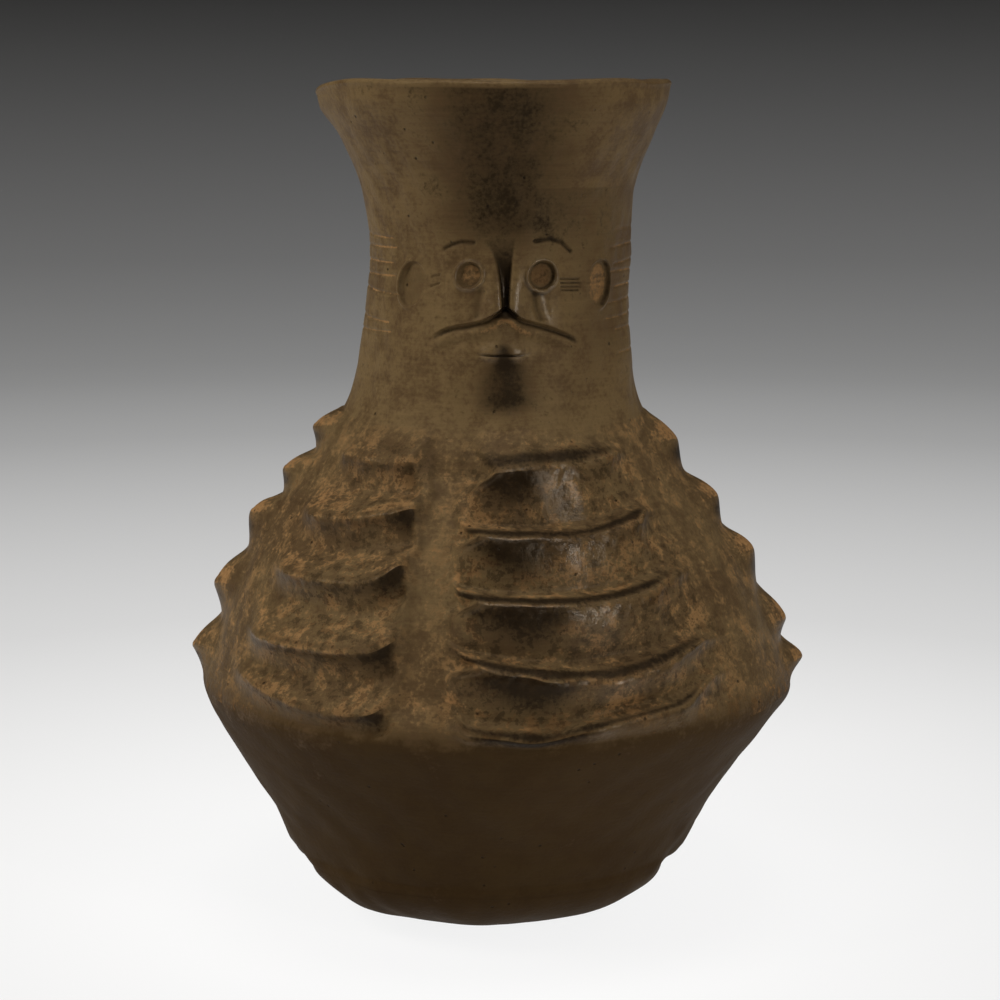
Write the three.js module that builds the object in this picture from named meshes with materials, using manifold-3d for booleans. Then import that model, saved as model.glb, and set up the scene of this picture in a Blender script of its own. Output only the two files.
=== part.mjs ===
// Hand-built ceremonial pot: coiled wall sections luted together, with applied ribs, spurs and a face.
// Millimetres and degrees, +Z up, foot on Z = 0. Angle 0 looks along -Y and grows towards +X.
import * as THREE from 'three';
import { mergeVertices } from 'three/addons/utils/BufferGeometryUtils.js';
import Module from 'manifold-3d';

const wasm = await Module();
wasm.setup();

// Gaps and joints
const LUTING_GAP = 0.3;
const SCARF_RISE = 4;
const STRAIGHT_BEND_RATIO = 0.05;
const LAP_RISE = 14;

// Clay thickness
const WALL = 9;
const LIP_WALL = 6;
const LIP_ROUND = 2;
const FEATHER_THICKNESS = 1.2;

// Base bowl, a shallow round bowl worn flat below
const FOOT_RADIUS = 62;
const BASE_DEPTH = 36;
const BASE_RIM_RADIUS = 112;

// Lower wall, lapped over the bowl and rising to the belly edge
const LAP_OVERHANG = 9;
const LOWER_WALL_HEIGHT = 105;
const BULGE_RISE = 16;
const BULGE_RADIUS = 129;
const HIP_RISE = 33;
const HIP_RADIUS = 137;
const BELLY_RADIUS = 183;

// Shoulder, from the belly edge to the throat
const SHOULDER_HEIGHT = 163;
const SHOULDER_MID_RISE = 73;
const SHOULDER_BOW_DEPTH = 10;
const THROAT_RADIUS = 91;

// Neck, from the throat through its waist to the collar
const NECK_HEIGHT = 136;
const NECK_SWELL_RISE = 41;
const NECK_SWELL_RADIUS = 81.6;
const WAIST_RISE = 94;
const WAIST_RADIUS = 77;
const COLLAR_RADIUS = 82;

// Flared rim
const FLARE_HEIGHT = 60;
const FLARE_MID_RISE = 28;
const FLARE_MID_RADIUS = 93.5;
const LIP_START_RISE = 46;
const LIP_START_RADIUS = 102;
const LIP_RADIUS = 105;

// Sideways lean of the hand-built axis
const BELLY_LEAN = 3.6;
const THROAT_LEAN = 1;
const WAIST_LEAN = 4.8;
const COLLAR_LEAN = 3.4;
const LIP_LEAN = 0.9;

// Ribs, five rows on each side of a bare breastbone channel
const ROWS = 5;
const RIB_THICKNESS = 10;
const EDGE_RIB_THICKNESS = 6.5;
const RIB_HANG_DEPTH = 2.5;
const RIB_RISER_HEIGHT = 11;
const RIB_SPACING = 2;
const LOW_RISER_RATIO = 0.6;
const RISER_POWER = 2.2;
const RIB_END_RATIO = 0.55;
const RIB_INNER_TURN_RATIO = 0.25;
const RIB_OUTER_TURN_RATIO = 0.4;
const RIB_INNER_TAPER_RATIO = 0.12;
const RIB_OUTER_TAPER_RATIO = 0.3;
const RIB_SECTION_POWER = 1.5;
const HANG_POWER = 3;
const RIB_END_THICKNESS = 2.5;
const FIRST_RIB_INSET_ANGLE = 3;
const LEFT_RIB_INNER_ANGLE = -18.5;
const LEFT_RIB_OUTER_ANGLE = -62;
const LEFT_RIB_TOP_DROP = 20;
const LEFT_RIB_LOW_RISE = 13;
const LEFT_RIB_INNER_RISE = 10;
const LEFT_RIB_OUTER_RISE = 4;
const RIGHT_RIB_INNER_ANGLE = -9.5;
const RIGHT_RIB_OUTER_ANGLE = 47.5;
const RIGHT_RIB_TOP_DROP = 22;
const RIGHT_RIB_LOW_RISE = 7.5;
const RIGHT_RIB_INNER_RISE = 8;
const RIGHT_RIB_OUTER_RISE = 10;

// Pinched spurs down both flanks, one to each row, shifted by hand by a share of the row pitch
const SPUR_ANGLE = 86;
const SPUR_HALF_LENGTH = 38;
const LEFT_SPUR_THICKNESS = 13;
const RIGHT_SPUR_THICKNESS = 10.5;
const SPUR_HANG_DEPTH = 3;
const SPUR_RISER_HEIGHT = 12;
const SPUR_RISER_POWER = 1.3;
const SPUR_WIDTH = 27;
const SPUR_END_RISE = 5;
const SPUR_END_RATIO = 0.5;
const SPUR_SECTION_POWER = 1.1;
const LEFT_SPUR_TOP_DROP = 13;
const LEFT_SPUR_LOW_RISE = 19.5;
const LEFT_SPUR_SHIFTS = [0, 0.21, 0.4, 0.15, 0];
const RIGHT_SPUR_TOP_DROP = 20;
const RIGHT_SPUR_LOW_RISE = 11.5;
const RIGHT_SPUR_SHIFTS = [0, -0.08, -0.03, -0.3, 0];

// Face on the neck, two cheek pads that meet at the nose, a lip roll and a mouth
const FACE_ANGLE = 3.6;
const CHEEK_SPAN_ANGLE = 25;
const NOSE_GAP_ANGLE = 1.6;
const BROW_RISE = 106;
const BROW_ARCH = 8;
const BROW_PEAK_RATIO = 0.55;
const NOSE_TIP_RISE = 68;
const CHEEK_CORNER_RISE = 50;
const NOSE_THICKNESS = 8;
const CHEEK_THICKNESS = 4;
const CHEEK_HANG_DEPTH = 1;
const CHEEK_FOOT_START_RATIO = 0.15;
const CHEEK_TAPER_RATIO = 0.3;
const CHEEK_TOP_RATIO = 0.35;
const NOSE_RATIO = 0.35;
const EYE_ANGLE = 15.4;
const EYE_RISE = 87;
const EYE_RADIUS = 8;
const EYE_DEPTH = 6;
const LIP_ROLL_WIDTH = 7;
const LIP_ROLL_THICKNESS = 4;
const LIP_ROLL_START_RATIO = 0.3;
const MOUTH_RISE = 42;
const MOUTH_HALF_LENGTH = 13;
const MOUTH_HALF_WIDTH = 5;
const MOUTH_THICKNESS = 3.5;
const MOUTH_END_RATIO = 0.4;
const MOUTH_SLIT_RATIO = 0.1;
const EAR_ANGLE = 48;
const EAR_RISE = 79;
const EAR_HEIGHT = 26;
const EAR_WIDTH = 13;
const EAR_DEPTH = 4;

// Facets
const TURN_FACETS = 54;
const PROFILE_STEPS = 6;
const INNER_STEPS = 3;
const RIB_STEP_ANGLE = 4;
const SPUR_STEPS = 6;
const LEDGE_STEPS = 4;
const RISER_STEPS = 3;
const BAND_STEPS = 4;
const CHEEK_STEPS = 8;
const BALL_FACETS = 16;
const PROBE = 0.2;

// Levels worked out from the section heights
const BASE_RIM = BASE_DEPTH;
const BELLY = BASE_RIM + LOWER_WALL_HEIGHT;
const THROAT = BELLY + SHOULDER_HEIGHT;
const COLLAR = THROAT + NECK_HEIGHT;
const LIP = COLLAR + FLARE_HEIGHT;

const clamp01 = (t) => Math.min(Math.max(t, 0), 1);
const ease = (t) => clamp01(t) ** 2 * (3 - 2 * clamp01(t));
const share = (steps) => Array.from({ length: steps + 1 }, (_, i) => i / steps);

// A fair curve through [height, radius] stations, with its slope
function fairCurve(stations) {
  const last = stations.length - 1;
  const slopes = stations.map((station, i) => {
    const below = stations[Math.max(i - 1, 0)];
    const above = stations[Math.min(i + 1, last)];
    return (above[1] - below[1]) / (above[0] - below[0]);
  });
  const radius = (height) => {
    let i = 0;
    while (i < last - 1 && height > stations[i + 1][0]) i += 1;
    const [low, high] = [stations[i], stations[i + 1]];
    const span = high[0] - low[0];
    const t = clamp01((height - low[0]) / span);
    const rise = t * t * (3 - 2 * t);
    const start = t * (1 - t) ** 2 * span * slopes[i];
    const end = t * t * (t - 1) * span * slopes[i + 1];
    return low[1] + (high[1] - low[1]) * rise + start + end;
  };
  const slope = (height) => (radius(height + PROBE / 2) - radius(height - PROBE / 2)) / PROBE;
  return { radius, slope, low: stations[0][0], high: stations[last][0], slopes };
}

const lowerCurve = fairCurve([
  [BASE_RIM, BASE_RIM_RADIUS + LAP_OVERHANG],
  [BASE_RIM + BULGE_RISE, BULGE_RADIUS],
  [BASE_RIM + HIP_RISE, HIP_RADIUS],
  [BELLY, BELLY_RADIUS],
]);
const shoulderTaper = (BELLY_RADIUS - THROAT_RADIUS) / SHOULDER_HEIGHT;
const shoulderCurve = fairCurve([
  [BELLY, BELLY_RADIUS],
  [BELLY + SHOULDER_MID_RISE, BELLY_RADIUS - shoulderTaper * SHOULDER_MID_RISE + SHOULDER_BOW_DEPTH],
  [THROAT, THROAT_RADIUS],
]);
const neckCurve = fairCurve([
  [THROAT, THROAT_RADIUS],
  [THROAT + NECK_SWELL_RISE, NECK_SWELL_RADIUS],
  [THROAT + WAIST_RISE, WAIST_RADIUS],
  [COLLAR, COLLAR_RADIUS],
]);
const flareCurve = fairCurve([
  [COLLAR, COLLAR_RADIUS],
  [COLLAR + FLARE_MID_RISE, FLARE_MID_RADIUS],
  [COLLAR + LIP_START_RISE, LIP_START_RADIUS],
  [LIP, LIP_RADIUS],
]);

const leanCurve = fairCurve([
  [0, 0],
  [BASE_RIM, 0],
  [BELLY, BELLY_LEAN],
  [THROAT, THROAT_LEAN],
  [THROAT + WAIST_RISE, WAIST_LEAN],
  [COLLAR, COLLAR_LEAN],
  [LIP, LIP_LEAN],
]);

// Points [radius, height] along a wall curve, drawn inwards by a depth square to it
function wallLine(curve, from, to, steps, depth) {
  return share(steps).map((t) => {
    const height = from + (to - from) * t;
    const slope = curve.slope(height);
    const along = Math.hypot(1, slope);
    return [curve.radius(height) - depth / along, height + (depth * slope) / along];
  });
}

// Inner end of the bevelled joint between two wall curves that share a level
function scarfInside(below, above, level) {
  const lowSlope = below.slope(level - PROBE);
  const highSlope = above.slope(level + PROBE);
  const lowDepth = WALL * Math.hypot(1, lowSlope);
  const highDepth = WALL * Math.hypot(1, highSlope);
  const bend = highSlope - lowSlope;
  const mitre = Math.abs(bend) < STRAIGHT_BEND_RATIO ? 0 : (highDepth - lowDepth) / bend;
  const rise = mitre + SCARF_RISE;
  return [above.radius(level) - highDepth + highSlope * rise, level + rise];
}

const lift = ([radius, height], by) => [radius, height + by];

// A wall section turned about Z from a closed profile that runs up outside and down inside
function turned(profile) {
  const points = profile.map(([radius, height]) => new THREE.Vector2(radius, height));
  return new THREE.LatheGeometry(points, TURN_FACETS).rotateX(Math.PI / 2);
}

function closedRing(outer, inner) {
  const loop = [...outer, ...inner.slice().reverse()];
  return turned([...loop, loop[0]]);
}

function baseBowl() {
  const curveDepth = BASE_DEPTH / Math.sqrt(1 - (FOOT_RADIUS / BASE_RIM_RADIUS) ** 2);
  const bowl = (depth) => share(PROFILE_STEPS).map((t) => {
    const height = BASE_RIM * t;
    const drop = (BASE_RIM - height) / curveDepth;
    const inside = 1 - depth / BASE_RIM_RADIUS;
    return [BASE_RIM_RADIUS * Math.sqrt(1 - drop * drop) * inside, depth + height * (1 - depth / BASE_RIM)];
  });
  const tongue = lapTongue();
  const outside = [[0, 0], ...bowl(0), tongue.outerTop];
  const inside = [tongue.innerTop, ...bowl(WALL).reverse(), [0, WALL]];
  return turned([...outside, ...inside]);
}

// Rim of the base bowl that runs up behind the lower wall
function lapTongue() {
  const lean = lowerCurve.slopes[0] * LAP_RISE;
  const top = BASE_RIM + LAP_RISE;
  return {
    outerTop: [BASE_RIM_RADIUS + lean, top],
    innerTop: [BASE_RIM_RADIUS - WALL + lean, top],
  };
}

function lowerWall() {
  const tongue = lapTongue();
  const lapStart = BASE_RIM + LUTING_GAP;
  const scarf = scarfInside(lowerCurve, shoulderCurve, BELLY);
  const outer = wallLine(lowerCurve, lapStart, BELLY, PROFILE_STEPS + 1, 0);
  const shelf = tongue.outerTop[1] + LUTING_GAP;
  const aboveShelf = wallLine(lowerCurve, BASE_RIM + HIP_RISE, BELLY - 2 * WALL, INNER_STEPS, WALL);
  const rebate = [
    [BASE_RIM_RADIUS + 2 * LUTING_GAP, lapStart],
    [tongue.outerTop[0] + LUTING_GAP, shelf],
    [tongue.innerTop[0], shelf],
  ];
  return closedRing(outer, [...rebate, ...aboveShelf, scarf]);
}

// A section between two bevelled joints
function middleWall(curve, below, above) {
  const start = curve.low + LUTING_GAP;
  const lowScarf = lift(scarfInside(below, curve, curve.low), LUTING_GAP);
  const highScarf = scarfInside(curve, above, curve.high);
  const outer = wallLine(curve, start, curve.high, PROFILE_STEPS + 1, 0);
  const from = curve.low + 2 * WALL;
  const inner = wallLine(curve, from, curve.high - 2 * WALL, INNER_STEPS, WALL);
  return closedRing(outer, [lowScarf, ...inner, highScarf]);
}

function rimFlare() {
  const start = COLLAR + LUTING_GAP;
  const lowScarf = lift(scarfInside(neckCurve, flareCurve, COLLAR), LUTING_GAP);
  const outer = wallLine(flareCurve, start, LIP - LIP_ROUND, PROFILE_STEPS, 0);
  const lipTop = [
    [LIP_RADIUS - LIP_ROUND, LIP],
    [LIP_RADIUS - LIP_WALL + LIP_ROUND / 2, LIP],
    [LIP_RADIUS - LIP_WALL, LIP - LIP_ROUND],
  ];
  const innerFoot = COLLAR + 2 * WALL;
  const inner = wallLine(flareCurve, innerFoot, COLLAR + LIP_START_RISE - WALL, INNER_STEPS - 1, WALL);
  return closedRing([...outer, ...lipTop], [lowScarf, ...inner]);
}

// A point on a wall, lifted square to it
function onWall(curve, angle, height, proud) {
  const turn = THREE.MathUtils.degToRad(angle);
  const slope = curve.slope(height);
  const along = Math.hypot(1, slope);
  const radius = curve.radius(height) + proud / along;
  const z = height - (proud * slope) / along;
  return new THREE.Vector3(radius * Math.sin(turn), -radius * Math.cos(turn), z);
}

// A pad of clay laid on a wall: place(u, v) gives angle, height, proud and hang, v runs downwards
function clayPad(curve, columns, rows, place) {
  const points = [];
  const faces = [];
  const layers = [
    ({ angle, height, proud, hang }) => onWall(curve, angle, height - hang, LUTING_GAP + proud),
    ({ angle, height }) => onWall(curve, angle, height, LUTING_GAP),
  ];
  for (const layer of layers) {
    for (const u of share(columns)) {
      for (const v of share(rows)) points.push(layer(place(u, v)));
    }
  }
  const size = (columns + 1) * (rows + 1);
  const at = (i, j, under) => under * size + i * (rows + 1) + j;
  const quad = (a, b, c, d) => faces.push(a, b, c, a, c, d);
  for (let i = 0; i < columns; i += 1) {
    for (let j = 0; j < rows; j += 1) {
      quad(at(i, j, 0), at(i, j + 1, 0), at(i + 1, j + 1, 0), at(i + 1, j, 0));
      quad(at(i + 1, j, 1), at(i + 1, j + 1, 1), at(i, j + 1, 1), at(i, j, 1));
    }
    quad(at(i + 1, rows, 0), at(i, rows, 0), at(i, rows, 1), at(i + 1, rows, 1));
    quad(at(i, 0, 0), at(i + 1, 0, 0), at(i + 1, 0, 1), at(i, 0, 1));
  }
  for (let j = 0; j < rows; j += 1) {
    quad(at(0, j + 1, 0), at(0, j, 0), at(0, j, 1), at(0, j + 1, 1));
    quad(at(columns, j, 0), at(columns, j + 1, 0), at(columns, j + 1, 1), at(columns, j, 1));
  }
  const geometry = new THREE.BufferGeometry().setFromPoints(points);
  geometry.setIndex(faces);
  return geometry;
}

// Places are laid out from left to right, so that every pad faces outwards
const fromLeft = (place, from, to) => (from < to ? place : (u, v) => place(1 - u, v));

// Ribs and spurs of each side, in rows evenly spread between the throat and the belly edge
const rowPitch = ({ topDrop, lowRise }) => (SHOULDER_HEIGHT - topDrop - lowRise) / (ROWS - 1);
const rowHeight = (side, row) => THROAT - side.topDrop - rowPitch(side) * row;
const leftRibs = {
  inner: LEFT_RIB_INNER_ANGLE,
  outer: LEFT_RIB_OUTER_ANGLE,
  topDrop: LEFT_RIB_TOP_DROP,
  lowRise: LEFT_RIB_LOW_RISE,
  innerRise: LEFT_RIB_INNER_RISE,
  outerRise: LEFT_RIB_OUTER_RISE,
};
const rightRibs = {
  inner: RIGHT_RIB_INNER_ANGLE,
  outer: RIGHT_RIB_OUTER_ANGLE,
  topDrop: RIGHT_RIB_TOP_DROP,
  lowRise: RIGHT_RIB_LOW_RISE,
  innerRise: RIGHT_RIB_INNER_RISE,
  outerRise: RIGHT_RIB_OUTER_RISE,
};
const leftSpurs = {
  topDrop: LEFT_SPUR_TOP_DROP,
  lowRise: LEFT_SPUR_LOW_RISE,
  shifts: LEFT_SPUR_SHIFTS,
  thickness: LEFT_SPUR_THICKNESS,
};
const rightSpurs = {
  topDrop: RIGHT_SPUR_TOP_DROP,
  lowRise: RIGHT_SPUR_LOW_RISE,
  shifts: RIGHT_SPUR_SHIFTS,
  thickness: RIGHT_SPUR_THICKNESS,
};

// Share of a ledge or riser reached at v, which runs down a rib or spur through its lip
const stepRows = LEDGE_STEPS + RISER_STEPS;
const ledgeShare = (v) => clamp01((v * stepRows) / LEDGE_STEPS);
const riserShare = (v) => clamp01((v * stepRows - LEDGE_STEPS) / RISER_STEPS);

// Height that a riser falls below a crest, shorter where the belly edge is near
const riserFall = (height, crest) => Math.min(height, LOW_RISER_RATIO * (crest - BELLY));

function rib(side, row) {
  const atEdge = row === 0 || row === ROWS - 1;
  const fullThickness = atEdge ? EDGE_RIB_THICKNESS : RIB_THICKNESS;
  const inset = row === 0 ? FIRST_RIB_INSET_ANGLE * Math.sign(side.outer - side.inner) : 0;
  const crest = rowHeight(side, row);
  const fall = riserFall(RIB_RISER_HEIGHT, crest);
  const room = row === 0 ? THROAT - crest - RIB_SPACING : rowPitch(side) - RIB_RISER_HEIGHT - RIB_SPACING;
  const endRise = row === 0 ? 0 : 1;
  const place = (u, v) => {
    const innerEnd = side.innerRise * clamp01(1 - u / RIB_INNER_TURN_RATIO) ** 2;
    const outerEnd = side.outerRise * clamp01(1 - (1 - u) / RIB_OUTER_TURN_RATIO) ** 2;
    const ends = ease(u / RIB_INNER_TAPER_RATIO) * ease((1 - u) / RIB_OUTER_TAPER_RATIO);
    const thickness = RIB_END_THICKNESS + (fullThickness - RIB_END_THICKNESS) * ends;
    const bandShare = RIB_END_RATIO + (1 - RIB_END_RATIO) * ends;
    const reach = room * (1 - ledgeShare(v)) - fall * riserShare(v);
    const lip = ledgeShare(v) ** RIB_SECTION_POWER * (1 - riserShare(v)) ** RISER_POWER;
    return {
      angle: side.inner + inset + (side.outer - side.inner - 2 * inset) * u,
      height: crest + (innerEnd + outerEnd) * endRise + bandShare * reach,
      proud: FEATHER_THICKNESS + (thickness - FEATHER_THICKNESS) * lip,
      hang: RIB_HANG_DEPTH * ends * lip ** HANG_POWER,
    };
  };
  const columns = Math.ceil(Math.abs(side.outer - side.inner) / RIB_STEP_ANGLE);
  return clayPad(shoulderCurve, columns, stepRows, fromLeft(place, side.inner, side.outer));
}

const spurCrest = (side, row) => rowHeight(side, row) + rowPitch(side) * side.shifts[row];

function spur(hand, side, row) {
  const crest = spurCrest(side, row);
  const fall = riserFall(SPUR_RISER_HEIGHT, crest);
  const room = row === 0 ? THROAT - crest : spurCrest(side, row - 1) - SPUR_RISER_HEIGHT - crest;
  const reach = THREE.MathUtils.radToDeg(SPUR_HALF_LENGTH / shoulderCurve.radius(crest));
  const band = Math.min(SPUR_WIDTH, room - SPUR_HANG_DEPTH - 2 * LUTING_GAP);
  const place = (u, v) => {
    const across = 2 * u - 1;
    const peak = ease(1 - Math.abs(across));
    const thickness = FEATHER_THICKNESS + (side.thickness - FEATHER_THICKNESS) * peak;
    const bandShare = SPUR_END_RATIO + (1 - SPUR_END_RATIO) * peak;
    const lip = ledgeShare(v) ** SPUR_SECTION_POWER * (1 - riserShare(v)) ** SPUR_RISER_POWER;
    const along = band * (1 - ledgeShare(v)) - fall * riserShare(v);
    return {
      angle: hand * SPUR_ANGLE + reach * across,
      height: crest + SPUR_END_RISE * across * across * bandShare + bandShare * along,
      proud: FEATHER_THICKNESS + (thickness - FEATHER_THICKNESS) * lip,
      hang: SPUR_HANG_DEPTH * peak * lip ** HANG_POWER,
    };
  };
  return clayPad(shoulderCurve, SPUR_STEPS, stepRows, place);
}

// Lower edge of the cheeks, falling from the nose tip to the corner of the lip roll
const cheekFoot = (u) => {
  const fall = ease(CHEEK_FOOT_START_RATIO + (1 - CHEEK_FOOT_START_RATIO) * u);
  return THROAT + NOSE_TIP_RISE - (NOSE_TIP_RISE - CHEEK_CORNER_RISE) * fall;
};

function cheek(hand) {
  const place = (u, v) => {
    const top = THROAT + BROW_RISE - BROW_ARCH * ((u - BROW_PEAK_RATIO) / BROW_PEAK_RATIO) ** 2;
    const foot = cheekFoot(u);
    const nose = 1 - ease(u / NOSE_RATIO);
    const flesh = CHEEK_THICKNESS * ease((1 - u) / CHEEK_TAPER_RATIO);
    const body = flesh + (NOSE_THICKNESS - CHEEK_THICKNESS) * nose * v;
    return {
      angle: FACE_ANGLE + hand * (NOSE_GAP_ANGLE / 2 + CHEEK_SPAN_ANGLE * u),
      height: top + (foot - top) * v,
      proud: FEATHER_THICKNESS + body * ease(v / CHEEK_TOP_RATIO),
      hang: CHEEK_HANG_DEPTH * v ** HANG_POWER,
    };
  };
  return clayPad(neckCurve, CHEEK_STEPS, CHEEK_STEPS, fromLeft(place, 0, hand));
}

function lipRoll() {
  const reach = NOSE_GAP_ANGLE / 2 + CHEEK_SPAN_ANGLE;
  const place = (u, v) => {
    const across = 2 * u - 1;
    const top = cheekFoot(Math.abs(across)) - CHEEK_HANG_DEPTH - 2 * LUTING_GAP;
    const roll = Math.sin(Math.PI * clamp01(LIP_ROLL_START_RATIO + (1 - LIP_ROLL_START_RATIO) * v));
    return {
      angle: FACE_ANGLE + reach * across,
      height: top - LIP_ROLL_WIDTH * v,
      proud: FEATHER_THICKNESS + (LIP_ROLL_THICKNESS - FEATHER_THICKNESS) * roll,
      hang: 0,
    };
  };
  return clayPad(neckCurve, 2 * CHEEK_STEPS, BAND_STEPS, place);
}

function mouth() {
  const reach = THREE.MathUtils.radToDeg(MOUTH_HALF_LENGTH / neckCurve.radius(THROAT + MOUTH_RISE));
  const place = (u, v) => {
    const across = 2 * u - 1;
    const bulge = 1 - across * across;
    const halfWidth = MOUTH_HALF_WIDTH * (MOUTH_END_RATIO + (1 - MOUTH_END_RATIO) * bulge);
    const slit = Math.abs(2 * v - 1) < MOUTH_SLIT_RATIO ? 0 : Math.sin(Math.PI * v);
    return {
      angle: FACE_ANGLE + reach * across,
      height: THROAT + MOUTH_RISE + halfWidth * (1 - 2 * v),
      proud: FEATHER_THICKNESS + (MOUTH_THICKNESS - FEATHER_THICKNESS) * bulge * slit,
      hang: 0,
    };
  };
  return clayPad(neckCurve, CHEEK_STEPS, BAND_STEPS, place);
}

// Booleans on closed geometry
function solid(geometry) {
  const bare = geometry.clone();
  bare.deleteAttribute('normal');
  bare.deleteAttribute('uv');
  const joined = mergeVertices(bare, 1e-4);
  return new wasm.Manifold(new wasm.Mesh({
    numProp: 3,
    vertProperties: new Float32Array(joined.attributes.position.array),
    triVerts: new Uint32Array(joined.index.array),
  }));
}

function geometryOf(manifold) {
  const { vertProperties, triVerts } = manifold.getMesh();
  const geometry = new THREE.BufferGeometry();
  geometry.setAttribute('position', new THREE.BufferAttribute(new Float32Array(vertProperties), 3));
  geometry.setIndex(new THREE.BufferAttribute(new Uint32Array(triVerts), 1));
  return geometry;
}

// A ball that presses a dent of a given mouth and depth into a wall, stretched into an oval upright
function dent(angle, height, halfWidth, halfHeight, depth, proud) {
  const ball = (halfWidth * halfWidth + depth * depth) / (2 * depth);
  const centre = onWall(neckCurve, angle, height, proud + ball - depth);
  const geometry = new THREE.SphereGeometry(ball, BALL_FACETS, BALL_FACETS / 2);
  geometry.scale(1, 1, halfHeight / halfWidth);
  geometry.rotateZ(THREE.MathUtils.degToRad(angle));
  return geometry.translate(centre.x, centre.y, centre.z);
}

const hands = [['left', -1], ['right', 1]];
const eyes = hands.map(([, hand]) => {
  const angle = FACE_ANGLE + hand * EYE_ANGLE;
  const proud = FEATHER_THICKNESS + CHEEK_THICKNESS;
  return solid(dent(angle, THROAT + EYE_RISE, EYE_RADIUS, EYE_RADIUS, EYE_DEPTH, proud));
});
const ears = hands.map(([, hand]) => {
  const angle = FACE_ANGLE + hand * EAR_ANGLE;
  return solid(dent(angle, THROAT + EAR_RISE, EAR_WIDTH / 2, EAR_HEIGHT / 2, EAR_DEPTH, 0));
});
function pressed(geometry, dents) {
  return geometryOf(dents.reduce((body, ball) => body.subtract(ball), solid(geometry)));
}

const BURNISHED = '#3d3021';
const WORN = '#5a4329';
const SOOTED = '#2a2118';
const LOWER = '#2e2417';

// The whole pot leans a little, so each level is set sideways
function leaning(geometry) {
  const places = geometry.attributes.position;
  for (let i = 0; i < places.count; i += 1) places.setX(i, places.getX(i) + leanCurve.radius(places.getZ(i)));
  return geometry;
}

const pot = new THREE.Group();
function add(name, geometry, colour, roughness) {
  const leant = leaning(geometry);
  const shown = leant.index ? leant.toNonIndexed() : leant;
  shown.computeVertexNormals();
  const finish = new THREE.MeshStandardMaterial({ color: colour, roughness, metalness: 0 });
  const mesh = new THREE.Mesh(shown, finish);
  mesh.name = name;
  pot.add(mesh);
}

add('base_bowl', baseBowl(), LOWER, 0.6);
add('lower_wall', lowerWall(), LOWER, 0.6);
add('shoulder_wall', middleWall(shoulderCurve, lowerCurve, neckCurve), BURNISHED, 0.5);
const neck = middleWall(neckCurve, shoulderCurve, flareCurve);
add('neck_wall', pressed(neck, [...eyes, ...ears]), BURNISHED, 0.5);
add('rim_flare', rimFlare(), BURNISHED, 0.5);
hands.forEach(([side, hand], i) => {
  const ribs = hand < 0 ? leftRibs : rightRibs;
  const spurs = hand < 0 ? leftSpurs : rightSpurs;
  for (let row = 0; row < ROWS; row += 1) {
    add(`rib_${side}_${row + 1}`, rib(ribs, row), WORN, 0.5);
    add(`spur_${side}_${row + 1}`, spur(hand, spurs, row), WORN, 0.6);
  }
  add(`cheek_${side}`, pressed(cheek(hand), [eyes[i]]), BURNISHED, 0.45);
});
add('lip_roll', lipRoll(), WORN, 0.6);
add('mouth', mouth(), SOOTED, 0.5);

export default pot;
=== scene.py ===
"""Looks of a hand-built ceremonial pot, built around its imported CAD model.

The clay is one warped skin of rows and columns, from the foot over the lip and down inside the rim. Rows
follow the crests of the ribs and the lines of the face, so each luted wall and each applied pad is a block
of that skin and meets its neighbours without a seam. Lengths are millimetres and angles degrees until a
mesh is made. Angle 0 looks along -Y and grows towards +X.
"""

import logging
import math
from dataclasses import dataclass, field
from enum import Enum, IntEnum

import bpy
import numpy as np
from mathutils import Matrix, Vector


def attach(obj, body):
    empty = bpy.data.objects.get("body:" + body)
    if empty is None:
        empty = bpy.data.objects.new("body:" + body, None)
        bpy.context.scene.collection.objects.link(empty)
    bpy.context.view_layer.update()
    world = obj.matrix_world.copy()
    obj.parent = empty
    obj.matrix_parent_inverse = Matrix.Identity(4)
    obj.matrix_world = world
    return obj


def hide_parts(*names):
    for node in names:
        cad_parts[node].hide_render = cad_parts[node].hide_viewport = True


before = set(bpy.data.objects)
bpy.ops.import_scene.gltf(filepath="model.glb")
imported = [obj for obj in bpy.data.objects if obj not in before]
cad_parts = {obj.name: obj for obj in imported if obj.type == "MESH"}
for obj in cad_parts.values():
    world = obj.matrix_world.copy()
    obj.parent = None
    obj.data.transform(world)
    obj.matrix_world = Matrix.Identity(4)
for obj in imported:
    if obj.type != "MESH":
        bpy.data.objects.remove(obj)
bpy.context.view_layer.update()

MM = 0.001
LOG = logging.getLogger("pot")

Array = np.ndarray
Tree = bpy.types.NodeTree
Socket = bpy.types.NodeSocket
Material = bpy.types.Material
Path = tuple[tuple[float, float], ...]
# The middle and width of a bell, or the limit and length of a slope
Spot = tuple[float, float]
# Radius, height and share of the band for each row
Rows = tuple[Array, Array, Array]
# The same after the band's name
Band = tuple[str, Array, Array, Array]
# Name, rows and columns of an applied pad
Pad = tuple[str, Array, Array]


class Side(Enum):
    """The two sides of the pot as the viewer sees them."""

    LEFT = -1
    RIGHT = 1


class Slot(Enum):
    """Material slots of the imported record."""

    BURNISHED = "burnished_terracotta"
    WORN = "worn_terracotta"
    BASE = "base_terracotta"


class Tint(IntEnum):
    """Channels of the painted layer that tells where the clay is dusty, sooty or rubbed, and where shade is
    painted.
    """

    OCHRE = 0
    SOOT = 1
    POLISH = 2


class Zone(IntEnum):
    """Channels of the painted layer that tells the dark lower body, streaks, raw inside and worn front."""

    LOWER = 0
    STREAKS = 1
    RAW = 2
    WORN = 3


def ease(share: Array) -> Array:
    """Return a share held to 0..1 with soft ends."""
    held = np.clip(share, 0.0, 1.0)
    return held * held * (3.0 - 2.0 * held)


def rising(value: Array, start: float | Array, length: float | Array) -> Array:
    """Return 0 up to a start, easing to 1 a length further on."""
    return ease((value - start) / length)


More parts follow.
